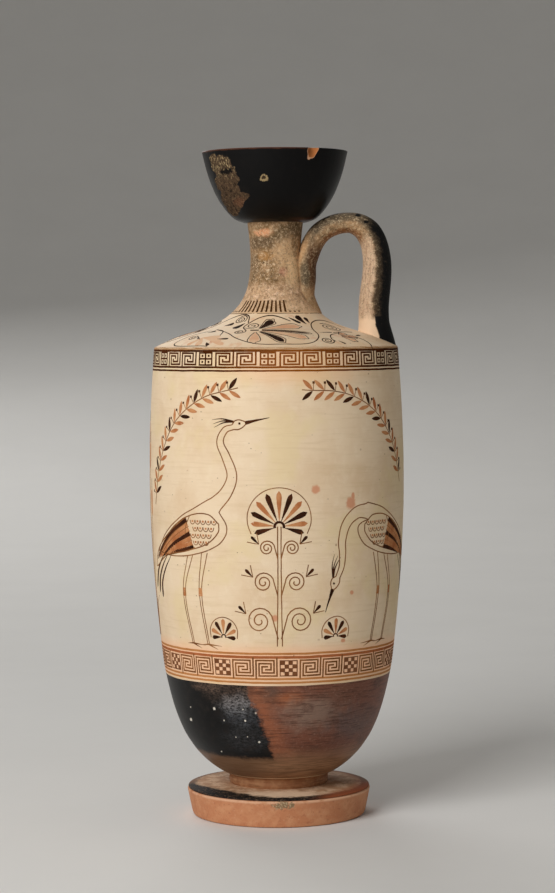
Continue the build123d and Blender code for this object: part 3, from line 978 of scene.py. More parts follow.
class FLASK_OT_shoulder(bpy.types.Operator):
    """Throw the shoulder and paint its palmettes, tendrils and edge"""

    bl_idname = "flask.shoulder"
    bl_label = "Shoulder"

    INSIDE = ((12.6, NECK_BASE), (12.6, 239.2), (30, 232.5), (46, 227), (51, 224), (53.5, 222))
    SPIGOT = (54.0, BODY_TOP)
    EDGE_HEIGHT = 226.1
    EDGE_WIDTH = 1.1
    TENDRIL_STROKE = 0.54
    VOLUTE_STROKE = 0.48
    CONTOUR_STROKE = 0.42
    # The front half in plan: fans of petals round a heart, each with its lean, reach and width
    START = 3.0
    RIGHT_START = 2.0
    HEART = (-9.5, -36.5)
    HEART_BAR = ((-12, -35.5), (-8, -36.5))
    BAR_STROKE = 1.3
    BLACK_FAN = ((52, 13.0, 5.6), (-8, 25.5, 2.9), (-51, 21.0, 4.6))
    WASHED_FAN = ((16, 21.5, 6.4), (-24, 26.0, 6.0), (-93, 16.0, 6.2))
    SIDE_HEART = (-34.5, -34.0)
    SIDE_FAN = ((-30, 10.0, 5.0), (-50, 14.0, 4.8), (-58, 19.0, 3.8), (-103, 9.0, 4.4), (-153, 8.0, 4.0))
    RIGHT_HEART = (29.0, -36.0)
    RIGHT_FAN = ((66, 7.0, 3.2), (30, 10.0, 3.6), (-8, 8.5, 3.2))
    FAR_HEART = (-31.0, 0.0)
    FAR_BLACK = ((-168, 21.0, 5.0), (-118, 14.0, 4.4))
    FAR_WASHED = ((-143, 18.0, 5.6),)
    # Single buds: place, lean, length and width
    BUDS = (
        ((14.5, -26.0), 135, 7.0, 4.2),
        ((6.0, -23.5), -26, 6.5, 2.6),
        ((16.0, -24.0), 120, 4.5, 2.8),
        ((-14.5, -24.5), -142, 7.0, 5.0),
        ((-24.5, -19.5), -20, 5.0, 4.0),
        ((-32.5, -42.5), -78, 4.0, 2.6),
        ((-35.5, -37.0), 100, 6.0, 1.2),
        ((-37.0, -34.0), 80, 4.0, 1.0),
        ((-27.5, -41.5), -27, 6.0, 2.4),
        ((-32.5, -25.0), -14, 4.5, 3.6),
        ((20.5, -36.0), 33, 7.0, 1.6),
        ((29.0, -43.5), -22, 4.0, 1.6),
        ((37.5, -29.0), 65, 5.5, 2.0),
    )
    TENDRILS = (
        (
            (-28, -23), (-23, -34), (-18, -46), (-9, -54), (4, -55), (16, -52), (20, -43), (17, -30),
            (17, -23), (21, -16), (27, -11), (33, -12),
        ),
        ((-14, -35), (-15, -29), (-10, -24), (-2, -23), (7, -26)),
        ((-25, -11), (-19, -14), (-13, -19), (-13, -25)),
        ((-28, -23), (-25, -29), (-26, -37)),
        ((-32, -47), (-44, -36), (-48, -27), (-42, -23), (-31, -22)),
        ((27, -32), (31, -27), (36, -21)),
        ((31, -30), (26, -37), (26, -43), (28, -45)),
        ((34, -34), (40, -31), (44, -34), (45, -38)),
        ((-25, -11), (-34, -13), (-45, -17), (-53, -9), (-55, 0)),
    )
    # Centre, radius, first angle, turning and number of turns
    VOLUTES = (
        ((-11.0, -29.5), 3.6, 200, 1, 1.9),
        ((-17.0, -36.0), 3.0, 20, -1, 1.9),
        ((-16.5, -20.0), 3.2, 300, 1, 2.2),
        ((26.0, -22.5), 5.4, 160, -1, 2.7),
        ((24.0, -46.0), 3.4, 60, -1, 2.1),
        ((-38.5, -28.5), 2.8, 90, 1, 1.9),
        ((-29.0, -6.0), 3.2, 90, -1, 1.9),
    )

    def execute(self, context):
        sizes, colours = given()
        shoulder = throw([*dome.line, *smooth_line(self.INSIDE, 6), self.SPIGOT], sizes.wheel_steps)
        set_piece("shoulder_dome", shoulder, self.ground(colours), ["shoulder"])
        ground = colours.shoulder
        black = painted("shoulder_black", "1c110a", "38231a", ground, 0.72)
        wash = painted("shoulder_wash", colours.petal, "e3bb96", ground, 0.64)
        fine = painted("shoulder_line", "26150a", "42291a", ground, 0.7)
        edge = painted("edge_gloss", "97693f", "b0865c", ground, 0.7, 16.0)
        black_fan = self.fan(self.HEART, self.BLACK_FAN, self.START)
        washed_fan = self.fan(self.HEART, self.WASHED_FAN, self.START)
        side_fan = self.fan(self.SIDE_HEART, self.SIDE_FAN, 0.0)
        right_fan = self.fan(self.RIGHT_HEART, self.RIGHT_FAN, self.RIGHT_START)
        far_black = self.fan(self.FAR_HEART, self.FAR_BLACK, self.START)
        far_washed = self.fan(self.FAR_HEART, self.FAR_WASHED, self.START)
        buds = [self.petal(*bud) for bud in self.BUDS]
        outlined = [*black_fan, *washed_fan, *right_fan, *far_black, *far_washed]
        lines = [self.contour(*petal) for petal in outlined]
        lines += [(smooth_line(tendril, 8), self.TENDRIL_STROKE, None, 1) for tendril in self.TENDRILS]
        lines += [(spiral(*volute), self.VOLUTE_STROKE, None, 1) for volute in self.VOLUTES]
        lines.append((divided(self.HEART_BAR, 1.4), self.BAR_STROKE, None, 1))
        dark_leaves = [self.leaf(*petal) for petal in (*black_fan, *far_black, *buds)]
        pale_leaves = [self.leaf(*petal) for petal in (*washed_fan, *right_fan, *far_washed, *side_fan)]
        self.paint("shoulder_black_petals", dark_leaves, black)
        self.paint("shoulder_washed_petals", pale_leaves, wash)
        self.paint("shoulder_tendrils", lines, fine)
        stripe = bmesh.new()
        circle = divided([(-180, self.EDGE_HEIGHT), (180, self.EDGE_HEIGHT)], 1.5)
        brush(stripe, circle, self.EDGE_WIDTH, across=3, wobble=0.08)
        set_piece("shoulder_edge_stripe", lay(stripe, dome.wrap), edge)
        return {"FINISHED"}

    def fan(self, heart, petals, start):
        """The petals of one fan, which start a little way from its heart."""
        return [self.petal(heart, *petal, start) for petal in petals]

    def petal(self, heart, lean, reach, width, start=0.0):
        """Where a petal starts and ends, and its width; it leans from the right, in degrees."""
        ahead = Vector((cos(radians(lean)), sin(radians(lean))))
        return Vector(heart) + ahead * start, Vector(heart) + ahead * reach, width

    def leaf(self, base, tip, width):
        """The brush stroke that fills a petal."""
        return divided([base, tip], (tip - base).length / 13), width, leaf_width, ceil(width / 1.6)

    def contour(self, base, tip, width):
        """A fine line that goes round a petal, a little way off."""
        ahead = (tip - base).normalized()
        aside = ahead.orthogonal()
        line = []
        for share in [k / 12 for k in range(13)]:
            line.append(base.lerp(tip, share) + aside * (width / 2 * leaf_width(share) + 0.2 + 0.8 * share))
        back = [p - aside * (2 * (p - base).dot(aside)) for p in reversed(line)]
        return smooth_line([*line, tip + ahead * 1.1, *back], 3), self.CONTOUR_STROKE, None, 1

    def paint(self, name, strokes, material):
        """Paint the strokes on the front half, and mirrored on the half behind."""
        sheet = bmesh.new()
        for flip in (1, -1):
            for points, width, shape, across in strokes:
                brush(sheet, [(p[0], p[1] * flip) for p in points], width, shape, across)
        set_piece(name, lay(sheet, dome.cover), material)

    def ground(self, colours):
        slip = Finish("shoulder_slip", 0.6, 0.2, colours.shoulder)
        slip.over(colours.cream, 1.0, slip.blotch(12.0, 0.35, 0.7))
        slip.over("dca680", 0.5, slip.blotch(5.0, 0.55, 0.7, shift=6.0))
        slip.over(colours.soil, 0.5, slip.speck(3.4, 0.12))
        slip.over(colours.flake, 1.0, slip.blotch(6.0, 0.69, 0.72, shift=5.0))
        slip.over("cda67c", 0.8, slip.step(slip.radial(), 22.2, 21.6))
        return slip.done(slip.noise(1.0), 0.25, 0.12)


class FLASK_OT_neck(bpy.types.Operator):
    """Throw the neck and paint the tongues at its foot"""

    bl_idname = "flask.neck"
    bl_label = "Neck"

    COLLAR = ((10.9, NECK_TOP), (10.9, COLLAR_TOP))
    BORE = ((8.0, COLLAR_TOP), (8.0, 262.0), (8.0, 243.0), (9.5, 239.2), (12.5, 239.2), (12.5, 243.4))
    FOOT_LINE = 21.9
    FOOT_LINE_WIDTH = 0.3
    TONGUES = 56
    TONGUE_SHIFT = 0.05
    TONGUE_BASE = 243.0
    TONGUE_MIDDLE = 246.0
    TONGUE_HEIGHT = 5.5
    TONGUE_WIDTH = 0.9
    TONGUE_STUB = 0.3
    # Stretches in degrees where the tongues are worn, and the height that is left there
    WORN = ((-100, -62, 0.6), (19, 34, 0.7), (34, 140, 0.0))
    # Places, half sizes, colours and strengths of the patches: weathering, with painted shadow and painted
    # light among them
    PATCHES = (
        ((-7.0, -9.0, 276.3), (9.0, 9.0, 3.0), "55432f", 0.8),
        # Painted shadow under the mouth, at the top right
        ((2.5, -12.0, 280.5), (4.5, 7.0, 4.0), "5b4a31", 0.75),
        ((-10.5, -6.0, 266.0), (3.5, 7.0, 7.0), "69533a", 0.7),
        # Painted shadow under the mouth, at the top right
        ((9.0, -9.0, 282.5), (5.0, 7.0, 3.4), "4e3e2a", 0.75),
        ((-5.5, -11.0, 281.2), (4.2, 6.0, 1.9), "d3956b", 0.95),
        ((5.0, -11.5, 270.0), (5.6, 7.0, 7.0), "d2ab80", 0.8),
        ((-5.0, -11.0, 270.0), (3.4, 6.0, 2.4), "ab7c48", 0.8),
        ((4.4, -12.0, 262.0), (2.4, 5.0, 2.2), "b97f66", 0.8),
        # Painted light: the right side, which lies in shade, made paler
        ((8.6, -9.0, 262.0), (4.0, 6.0, 8.0), "f0c898", 0.9),
    )

    def execute(self, context):
        sizes, colours = given()
        neck = throw([*stem.line, *self.COLLAR, *self.BORE], sizes.wheel_steps)
        set_piece("neck_tube", neck, self.skin(colours), ["neck"])
        tongues = bmesh.new()
        arc = stem.arc(self.TONGUE_MIDDLE)
        for k in range(self.TONGUES):
            turn = -180 + 360 / self.TONGUES * (k + self.TONGUE_SHIFT)
            worn = noise.noise((turn * 0.11, 2.0, 0.0))
            height = self.TONGUE_HEIGHT + 0.5 * worn
            for low, high, left in self.WORN:
                if low < turn < high:
                    height = left * (1 + worn)
            if height > self.TONGUE_STUB:
                tip = (turn * arc, self.TONGUE_BASE + height)
                brush(tongues, divided([tip, (turn * arc, self.TONGUE_BASE)], 0.8), self.TONGUE_WIDTH)
        paint = painted("tongue_gloss", "2a1808", "583718", colours.shoulder, 0.68, 8.0)
        set_piece("neck_tongues", lay(tongues, flare.wrap, arc), paint)
        line = bmesh.new()
        turns = [radians(a) for a in range(-180, 181, 2)]
        ring = [(self.FOOT_LINE * sin(a), -self.FOOT_LINE * cos(a)) for a in turns]
        brush(line, ring, self.FOOT_LINE_WIDTH)
        faint = painted("neck_line_gloss", "54361f", "8a6844", colours.shoulder, 0.56, 5.0)
        set_piece("neck_foot_line", lay(line, dome.cover), faint)
        return {"FINISHED"}

    def skin(self, colours):
        skin = Finish("neck_slip", 0.72, 0.15, colours.weathered)
        skin.over("80623f", 1.0, skin.blotch(7.0, 0.4, 0.62))
        skin.over("c09a72", 0.7, skin.blotch(3.5, 0.5, 0.66, shift=6.0, roughness=0.7))
        # Weathered patches, with the painted shadow and painted light among them
        for centre, size, tint, share in self.PATCHES:
            skin.over(tint, share, skin.spot(centre, size, 0.5, 3.0, 0.5))
        low = skin.step(skin.plus(skin.axis("Z"), skin.sway(5.0, 10.0)), 259.0, 253.0)
        skin.over("d2aa84", 0.7, low)
        skin.over("8c6a4a", 0.6, low, skin.blotch(3.0, 0.5, 0.6, shift=2.0, roughness=0.75))
        skin.over("ecc8a6", 0.8, low, skin.blotch(3.0, 0.52, 0.6, shift=8.0, roughness=0.8))
        skin.over("e6bf94", 0.45, skin.step(skin.axis("Z"), 250.0, 245.0))
        where = skin.plus(0.75, skin.times(skin.spot((-5, -11.5, 262.5), (8, 9, 5), 0.4, 3.0, 0.5), 0.5))
        skin.grains("4a3622", "dcc09c", 0.8, where)
        return skin.done(skin.noise(0.9, 8.0, roughness=0.8), 0.6, 0.35)


class FLASK_OT_mouth(bpy.types.Operator):
    """Throw the mouth with its chipped rim and its crusted loss"""

    bl_idname = "flask.mouth"
    bl_label = "Mouth"

    OUTER = (
        (15.0, NECK_TOP), (19.2, 287.6), (22.6, 290.6), (26.6, 296.0), (29.6, 301.8), (32.6, 310.0),
        (35.0, RIM - 0.4),
    )
    LIP = ((34.8, RIM - 0.05), (34.2, RIM), (33.4, RIM), (32.6, RIM))
    INNER = ((32.2, RIM - 0.3), (27.0, 303.0), (22.0, 296.0), (14.0, 291.6), (8.2, 290.8))
    SOCKET = ((8.2, 290.6), (11.2, 290.6), (11.2, NECK_TOP))
    STEPS = 400
    # Heights, and the radius past which a point lies on the outside
    HEIGHTS = (288, 302, 318.5)
    OUTSIDE = (17, 28, 33)
    # The chip in the rim, and places and half sizes of the crusted loss
    CHIP = (19.2, -31.0, 320.8)
    CHIP_SIZE = (3.1, 3.4, 7.2)
    CHIP_LEAN = 0.3
    CRUST = (
        ((-29.2, -16.5, 316.0), (1.8, 9.0, 2.0)),
        ((-24.8, -20.0, 312.4), (5.6, 14.0, 4.8)),
        ((-22.4, -20.0, 305.5), (6.4, 14.0, 7.5)),
        ((-20.2, -17.0, 297.5), (6.6, 14.0, 5.6)),
        ((-16.0, -23.0, 297.6), (3.8, 9.0, 2.2)),
        ((-20.0, -12.0, 292.0), (3.8, 9.0, 3.2)),
    )
    NICK = (-5.0, -31.0, 305.7)

    def execute(self, context):
        colours = given()[1]
        outer = smooth_line(self.OUTER, 10)
        inner = smooth_line(self.INNER, 12)
        mouth = throw([*outer, *self.LIP, *inner, *self.SOCKET], self.STEPS)
        outside = mouth.verts.layers.float.new("outside")
        bare = mouth.verts.layers.float.new("bare")
        for vert in mouth.verts:
            wide = hypot(vert.co.x, vert.co.y) > np.interp(vert.co.z, self.HEIGHTS, self.OUTSIDE)
            vert[outside] = float(wide)
            if wide:
                self.roughen(vert)
            vert[bare] = self.bite(vert)
        set_piece("mouth_cup", mouth, self.gloss(colours), ["mouth"])
        return {"FINISHED"}

    def bite(self, vert):
        """Push a point out of the chip in the rim, and say how far in it lay: 0.5 is on the chip's edge."""
        centre = Vector(self.CHIP)
        centre.x += self.CHIP_LEAN * (vert.co.z - centre.z)
        away = vert.co - centre
        scaled = Vector([a / s for a, s in zip(away, self.CHIP_SIZE)]).length
        reach = 1 + 0.12 * noise.noise(vert.co * 0.45)
        if scaled < reach:
            vert.co = centre + away * (reach / max(scaled, 0.05))
        return min(1.0, max(0.0, 0.5 + 1.2 * (reach - scaled)))

    def roughen(self, vert):
        """Give the crusted loss its lumps and hollows."""
        depth = 0.0
        for centre, size in self.CRUST:
            away = [(p - c) / s for p, c, s in zip(vert.co, centre, size)]
            depth = max(depth, 1.15 - Vector(away).length)
        push = min(1.0, depth * 4) * (0.45 * noise.noise(vert.co * 0.7) - 0.12)
        vert.co += Vector((vert.co.x, vert.co.y, 0)).normalized() * push

    def gloss(self, colours):
        gloss = Finish("mouth_gloss", 0.38, 0.1, colours.gloss)
        gloss.over("17120f", 0.7, gloss.blotch(8.0, 0.5, 0.8))
        height = gloss.axis("Z")
        rubbed = gloss.step(gloss.plus(height, gloss.sway(4.0, 1.2)), RIM - 1.0, RIM - 0.4)
        left = gloss.step(gloss.axis("X"), 18.0, 10.0)
        gloss.over("553324", 0.85, rubbed, left)
        # Painted brownish sheen on the right of the mouth's lower curve
        foot = gloss.step(gloss.plus(height, gloss.sway(5.0, 2.0)), 288.6, 287.0)
        gloss.over("4a2c1e", 0.55, foot, gloss.step(gloss.axis("X"), 2.0, 14.0))
        inside = gloss.attribute("bare")
        chip = gloss.step(inside, 0.44, 0.52)
        gloss.over("a8683a", 1.0, chip)
        gloss.over("d0a382", 0.85, chip, gloss.step(inside, 0.72, 0.56))
        soft = gloss.most(*[gloss.spot(centre, size, 0.3, 3.6, 0.3) for centre, size in self.CRUST])
        torn = gloss.step(gloss.plus(soft, gloss.sway(0.9, 1.0, roughness=0.8)), 0.42, 0.56)
        crust = gloss.times(torn, gloss.attribute("outside"))
        gloss.over(colours.crust, 1.0, crust)
        fibres = gloss.noise(1.1, 7.0, stretch=(1.6, 1.6, 0.6), roughness=0.75)
        gloss.over("8c7153", 0.8, crust, gloss.step(fibres, 0.53, 0.64))
        gloss.over("20170f", 0.9, crust, gloss.blotch(1.5, 0.52, 0.58, shift=5.0, roughness=0.75))
        rust = gloss.spot((-16.5, -20.0, 295.0), (3.0, 9.0, 2.2), 0.4, 2.0, 0.5)
        gloss.over("84543c", 0.25, crust, rust)
        pale = gloss.times(crust, gloss.step(height, 303.0, 312.0), gloss.step(fibres, 0.5, 0.6))
        gloss.over("c0a97e", 0.6, pale)
        gloss.over("15110d", 1.0, gloss.spot((-22.6, -22.0, 309.6), (3.0, 8.0, 1.3), 0.7, 1.6, 0.15))
        nick = gloss.spot(self.NICK, (1.8, 3.0, 1.8), 0.45, 1.3, 0.1)
        gloss.over("98835f", 1.0, nick)
        # Painted shade in the upper part of the nick's hollow
        gloss.over("3c2e20", 1.0, gloss.spot((-5.2, -31.0, 306.0), (1.0, 3.0, 0.9), 0.4, 1.0, 0.2))
        bare = gloss.most(crust, chip, nick)
        rough = gloss.plus(gloss.times(bare, 0.45), 0.38)
        relief = gloss.plus(gloss.noise(3.0, 3.0), gloss.times(gloss.noise(0.8), bare, 3.0))
        return gloss.done(relief, 0.3, 0.2, rough)


class FLASK_OT_handle(bpy.types.Operator):
    """Draw the strap handle from the neck to the shoulder"""

    bl_idname = "flask.handle"
    bl_label = "Handle"

    RUN = (
        (16.2, 240.0), (13.3, 250.0), (14.3, 258.5), (15.0, 268.0), (22.0, 281.2), (35.4, 285.8),
        (45.0, 280.8), (49.0, 267.0), (47.3, 244.0), (48.3, 226.0),
    )
    # Share of the run, thickness and width there
    SIZES = (
        (0, 13, 15), (0.12, 11.2, 13.5), (0.2, 10.4, 13.5), (0.42, 10.4, 15), (0.56, 9.8, 15.8),
        (0.66, 12.4, 16.5), (0.84, 14.4, 18), (0.93, 14.8, 18.5), (1, 19.4, 21),
    )
    ROUND = 48
    # Dark marks on the crown
    MARKS = ((39.8, -4, 289.0), (43.6, -5, 285.8))
    MARK_SIZE = (1.6, 7.0, 0.8)

    def execute(self, context):
        colours = given()[1]
        line = smooth_line(self.RUN, 12)
        last = len(line) - 1
        shares, thick, wide = zip(*self.SIZES)
        strap = bmesh.new()
        outer = strap.verts.layers.float.new("outer")
        along = strap.verts.layers.float.new("along")
        for vert in bmesh.ops.create_grid(strap, x_segments=last, y_segments=self.ROUND, size=0.5)["verts"]:
            share = vert.co.x + 0.5
            at = round(share * last)
            turn = FULL_TURN * (vert.co.y + 0.5)
            lean = (line[min(at + 1, last)] - line[max(at - 1, 0)]).normalized()
            spot = line[at] + lean.orthogonal() * (np.interp(share, shares, thick) / 2 * cos(turn))
            vert[outer] = cos(turn)
            vert[along] = share
            vert.co = (spot.x, np.interp(share, shares, wide) / 2 * sin(turn), spot.y)
        bmesh.ops.remove_doubles(strap, verts=strap.verts, dist=1e-4)
        bmesh.ops.holes_fill(strap, edges=[e for e in strap.edges if e.is_boundary], sides=0)
        bmesh.ops.recalc_face_normals(strap, faces=strap.faces)
        set_piece("handle_strap", strap, self.skin(colours), ["handle"])
        return {"FINISHED"}

    def skin(self, colours):
        skin = Finish("handle_slip", 0.65, 0.15, colours.weathered)
        outer = skin.attribute("outer")
        along = skin.attribute("along")
        skin.over("8b6f50", 1.0, skin.blotch(6.0, 0.4, 0.62))
        skin.over("c5a67f", 0.6, skin.blotch(2.4, 0.52, 0.66, shift=5.0))
        ragged = skin.plus(outer, skin.sway(4.0, 0.6))
        limb = skin.step(along, 0.64, 0.72)
        skin.over("d2b193", 0.9, limb, skin.step(ragged, 0.0, -0.3))
        streaks = skin.blotch(1.2, 0.46, 0.62, stretch=(1.0, 1.0, 0.14), shift=2.0)
        skin.over("a07c5e", 0.6, limb, streaks)
        skin.over("5e4834", 0.9, limb, skin.step(ragged, -0.35, 0.05))
        crown = skin.times(skin.step(along, 0.36, 0.44), skin.step(along, 0.72, 0.64))
        skin.over("54493a", 0.85, crown, skin.step(ragged, -0.1, 0.4))
        skin.over("84532e", 0.85, crown, skin.step(outer, -0.4, -0.75))
        rise = skin.step(along, 0.44, 0.36)
        # Painted highlight on the side of the rising limb that faces the neck and the light
        skin.over("c79a6c", 0.8, rise, skin.step(outer, 0.2, 0.65))
        # Painted shade on the rising limb's other side
        skin.over("4c2d19", 0.9, rise, skin.step(ragged, 0.4, -0.15), skin.step(along, 0.15, 0.24))
        grey = skin.spot((14.0, -6.0, 261.0), (2.6, 5.0, 7.0), 0.4, 4.0, 0.5)
        skin.over("564b38", 0.85, rise, grey)
        skin.grains("43331f", "d9bf9a", 0.7, skin.plus(1.0, skin.times(rise, -0.4)))
        bend = skin.step(along, 0.58, 0.68)
        skin.over("31271a", 0.8, bend, skin.step(ragged, -0.2, 0.15))
        skin.over("e8c8a6", 0.95, skin.step(skin.plus(along, skin.sway(5.0, 0.03)), 0.9, 0.925))
        soft = skin.plus(outer, skin.sway(1.4, 0.9, roughness=0.8), skin.sway(7.0, 0.5))
        start = skin.step(skin.plus(along, skin.sway(6.0, 0.12)), 0.6, 0.67)
        black = skin.times(skin.step(soft, 0.1, 0.5), start, skin.step(along, 0.96, 0.94))
        slope = skin.plus(outer, skin.times(skin.plus(along, -0.905), -3.0), skin.sway(5.0, 0.3))
        sole = skin.times(skin.step(slope, -0.06, 0.02), skin.step(along, 0.9, 0.912))
        top = skin.step(skin.plus(outer, skin.sway(5.0, 1.4)), 0.95, 1.1)
        brow = skin.times(top, skin.step(along, 0.3, 0.36))
        marks = [skin.spot(mark, self.MARK_SIZE, 0.5, 1.2, 0.2) for mark in self.MARKS]
        skin.over(colours.gloss, 1.0, skin.most(black, sole, brow, *marks))
        skin.over("5a4a3a", 0.5, black, skin.blotch(1.6, 0.56, 0.7, shift=8.0, roughness=0.8))
        return skin.done(skin.noise(0.9, 8.0, roughness=0.8), 0.5, 0.35)


# The foot and the slip in the joints


class FLASK_OT_foot(bpy.types.Operator):
    """Throw the foot and the coil that joins it to the body"""

    bl_idname = "flask.foot"
    bl_label = "Foot"

    BASE = ((0, 4.0), (28.0, 4.0), (30.0, 0.0), (40.4, 0.0), (41.5, 0.4), (42.0, 1.4))
    SIDE = ((42.4, 3.2), (43.2, 7.0), (44.0, 11.0), (44.25, 12.4), (43.9, 12.9), (43.3, 13.1))
    EDGE = ((43.3, 13.1), (43.9, 13.4), (43.7, 13.9), (42.4, 14.3), (39.0, 14.7), (32.0, 15.0))
    TOP = ((22.0, FOOT_TOP), (0, FOOT_TOP))
    COIL = ((23.6, FOOT_TOP - 0.3), (24.1, 16.6), (23.9, 18.4), (24.6, 20.0), (27.2, 21.3))
    COIL_INSIDE = ((22.0, BODY_BASE + 0.3), (13.5, BODY_BASE), (13.5, FOOT_TOP - 0.2))

    def execute(self, context):
        sizes, colours = given()
        side = smooth_line(self.SIDE, 5)
        edge = smooth_line(self.EDGE, 5)
        foot = throw([*self.BASE, *side, *edge[1:], *self.TOP], sizes.wheel_steps)
        set_piece("foot_disc", foot, self.clay(colours), ["foot"])
        ring = throw([*smooth_line(self.COIL, 5), *self.COIL_INSIDE], sizes.wheel_steps)
        set_piece("foot_joint_coil", ring, self.joint(), ["foot_joint_ring"])
        return {"FINISHED"}

    def clay(self, colours):
        clay = Finish("foot_clay", 0.72, 0.2, colours.clay)
        clay.over("cd946c", 0.8, clay.blotch(6.0, 0.4, 0.66))
        clay.over("a4674a", 0.5, clay.blotch(1.6, 0.55, 0.68, shift=3.0))
        clay.over(colours.clay_pale, 0.5, clay.blotch(1.2, 0.6, 0.7, shift=9.0))
        height = clay.axis("Z")
        # The mask named rubbed is a painted highlight: the rounded top edge of the side is made paler, in
        # blotches
        rubbed = clay.times(clay.step(height, 11.4, 12.6), clay.blotch(6.0, 0.35, 0.55, shift=2.0))
        clay.over("e0b391", 0.7, rubbed)
        scuff = clay.spot((2.6, -43.9, 11.2), (4.6, 3.0, 1.6), 0.9, 1.3, 0.2)
        clay.over("7c6c50", 0.85, scuff)
        clay.over("c9b08c", 0.7, scuff, clay.blotch(0.8, 0.5, 0.6, shift=4.0))
        top = clay.step(clay.plus(height, clay.sway(4.0, 0.25)), 13.15, 13.3)
        clay.over("b48a68", 1.0, top)
        clay.over("d6b494", 0.85, top, clay.blotch(6.0, 0.42, 0.6, shift=1.0))
        clay.over("8a6548", 0.7, top, clay.blotch(1.8, 0.5, 0.66, shift=6.0, roughness=0.75))
        clay.over("f0d2b2", 0.75, top, clay.spot((0, -36, 15), (24, 8, 6), 0.4, 5.0, 0.6))
        reach = clay.radial()
        ragged = clay.sway(1.6, 10.0, stretch=(0.35, 1.0, 1.0), roughness=0.8)
        right = clay.step(clay.plus(clay.axis("X"), clay.sway(8.0, 12.0)), 14.0, 28.0)
        clay.over("9c5a38", 0.8, top, right, clay.step(clay.plus(reach, ragged), 35.0, 41.5))
        broad = clay.spot((-32, -28, 14), (21, 16, 9), 0.2, 10.0, 0.7)
        band = clay.step(clay.plus(reach, clay.times(broad, 5.6), ragged), 39.4, 42.0)
        band = clay.times(top, band)
        clay.over(colours.gloss, 1.0, band)
        clay.over("80654e", 0.65, band, clay.blotch(1.2, 0.5, 0.62, shift=7.0, roughness=0.8))
        clay.over("8a4a2c", 1.0, band, right)
        clay.over("7d5c45", 1.0, band, clay.step(clay.axis("Y"), -6.0, 6.0))
        return clay.done(clay.noise(1.0), 0.4, 0.2)

    def joint(self):
        clay = Finish("joint_clay", 0.7, 0.2, "8f5f3f")
        clay.over("a87a56", 1.0, clay.blotch(4.0, 0.35, 0.7))
        clay.over("6b4327", 0.6, clay.blotch(0.8, 0.5, 0.65, stretch=(0.08, 0.08, 1.0)))
        return clay.done(clay.noise(1.0), 0.4, 0.2)


class FLASK_OT_slip(bpy.types.Operator):
    """Give the slip between the joined pieces its finish"""

    bl_idname = "flask.slip"
    bl_label = "Slip"

    def execute(self, context):
        colours = given()[1]
        slip = Finish("joining_slip", 0.7, 0.3, colours.clay)
        slip.over(colours.clay_pale, 1.0, slip.blotch(3.0, 0.35, 0.65))
        slip.done(slip.noise(0.8), 0.4, 0.15)
        for name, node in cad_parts.items():
            if "slip" in name:
                node.data.materials.clear()
                node.data.materials.append(slip.material)
        return {"FINISHED"}


# The stage


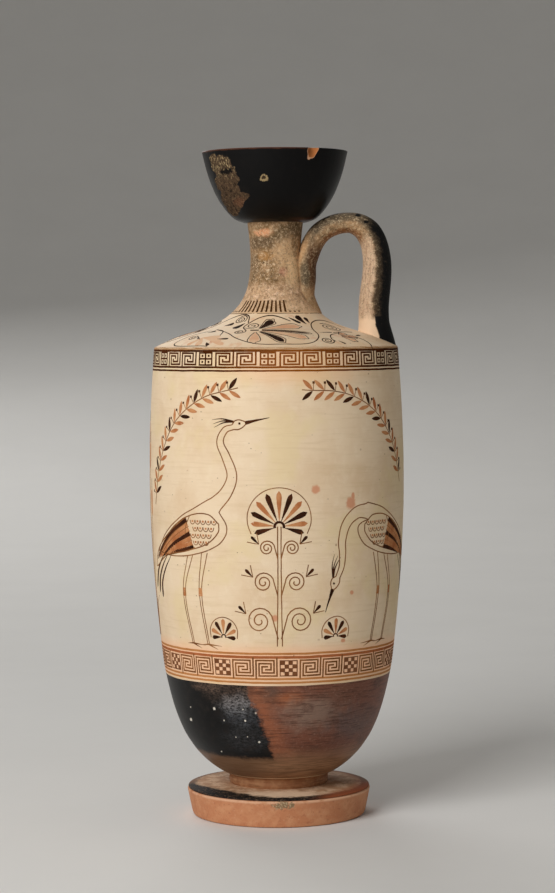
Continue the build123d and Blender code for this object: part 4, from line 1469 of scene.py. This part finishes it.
class FLASK_OT_stage(bpy.types.Operator):
    """Set the floor, the lamps and the camera"""

    bl_idname = "flask.stage"
    bl_label = "Stage"

    # The floor is flat to a radius and then bends up, in metres, through these slopes in degrees
    FLAT = 1.25
    BEND = 3.4
    SLOPES = range(0, 85, 6)
    FLOOR_STEPS = 96
    # Each softbox: its place and size in metres, and its power in watts
    LAMPS = {
        "key_softbox": ((-1.0, -1.55, 1.2), 1.1, 34.5),
        "fill_softbox": ((1.5, -1.0, 0.9), 1.4, 0.4),
        "rear_softbox": ((-0.6, 1.8, 1.3), 1.2, 13.0),
    }
    AIM = Vector((0, 0, 0.16))
    AIR = "e8e6e2"
    AIR_STRENGTH = 0.2
    LENS = 103.0
    SENSOR = 36.0
    CAMERA = (0.000435, -1.235, 0.238)
    TILT = 87.22
    ROLL = -0.37

    def execute(self, context):
        scene = context.scene
        self.floor(scene)
        for name, (place, size, power) in self.LAMPS.items():
            self.lamp(scene, name, place, size, power)
        world = scene.world or bpy.data.worlds.new("studio_air")
        scene.world = world
        world.use_nodes = True
        sky = world.node_tree.nodes["Background"]
        sky.inputs["Color"].default_value = (*tone(self.AIR), 1.0)
        sky.inputs["Strength"].default_value = self.AIR_STRENGTH
        lens = bpy.data.cameras.new("photo_camera")
        lens.lens = self.LENS
        lens.sensor_width = self.SENSOR
        camera = bpy.data.objects.new("photo_camera", lens)
        tilt = Matrix.Rotation(radians(self.TILT), 4, "X") @ Matrix.Rotation(radians(self.ROLL), 4, "Z")
        camera.matrix_world = Matrix.Translation(self.CAMERA) @ tilt
        scene.collection.objects.link(camera)
        scene.camera = camera
        scene.view_settings.view_transform = "Standard"
        return {"FINISHED"}

    def floor(self, scene):
        """A wide paper dish: a floor that bends up into a backdrop all round."""
        slopes = [radians(a) for a in self.SLOPES]
        curve = [(self.FLAT + self.BEND * sin(a), self.BEND * (1 - cos(a))) for a in slopes]
        dish = throw([(0, 0), (self.FLAT / 2, 0), *curve], self.FLOOR_STEPS, closed=False)
        mesh = bpy.data.meshes.new("studio_dish")
        dish.to_mesh(mesh)
        dish.free()
        mesh.polygons.foreach_set("use_smooth", [True] * len(mesh.polygons))
        paper = Finish("studio_paper", 0.85, 0.2, "dedcd8")
        paper.over("e6e4e0", 1.0, paper.noise(120.0))
        mesh.materials.append(paper.done(paper.noise(40.0), 0.05, 0.2))
        floor = bpy.data.objects.new("studio_dish", mesh)
        scene.collection.objects.link(floor)

    def lamp(self, scene, name, place, size, power):
        light = bpy.data.lights.new(name, "AREA")
        light.size = size
        light.energy = power
        lamp = bpy.data.objects.new(name, light)
        lamp.location = place
        lamp.rotation_euler = (self.AIM - lamp.location).to_track_quat("-Z", "Y").to_euler()
        scene.collection.objects.link(lamp)


OPERATORS = (
    FLASK_OT_stage,
    FLASK_OT_body,
    FLASK_OT_bands,
    FLASK_OT_picture,
    FLASK_OT_shoulder,
    FLASK_OT_neck,
    FLASK_OT_mouth,
    FLASK_OT_handle,
    FLASK_OT_foot,
    FLASK_OT_slip,
)


class FLASK_PT_panel(bpy.types.Panel):
    """Lists what can be built and changed"""

    bl_label = "Oil flask"
    bl_idname = "FLASK_PT_panel"
    bl_space_type = "VIEW_3D"
    bl_region_type = "UI"
    bl_category = "Flask"

    def draw(self, context):
        for group in (context.scene.flask_sizes, context.scene.flask_colours):
            box = self.layout.box()
            for name in group.bl_rna.properties.keys():
                if name not in {"rna_type", "name"}:
                    box.prop(group, name)
        for operator in OPERATORS:
            self.layout.operator(operator.bl_idname)


CLASSES = (FlaskColours, FlaskSizes, *OPERATORS, FLASK_PT_panel)


def register():
    for made in CLASSES:
        bpy.utils.register_class(made)
    bpy.types.Scene.flask_colours = PointerProperty(type=FlaskColours)
    bpy.types.Scene.flask_sizes = PointerProperty(type=FlaskSizes)


def unregister():
    del bpy.types.Scene.flask_sizes
    del bpy.types.Scene.flask_colours
    for made in reversed(CLASSES):
        bpy.utils.unregister_class(made)


def main():
    register()
    for operator in OPERATORS:
        group, name = operator.bl_idname.split(".")
        getattr(getattr(bpy.ops, group), name)()


if __name__ == "__main__":
    main()
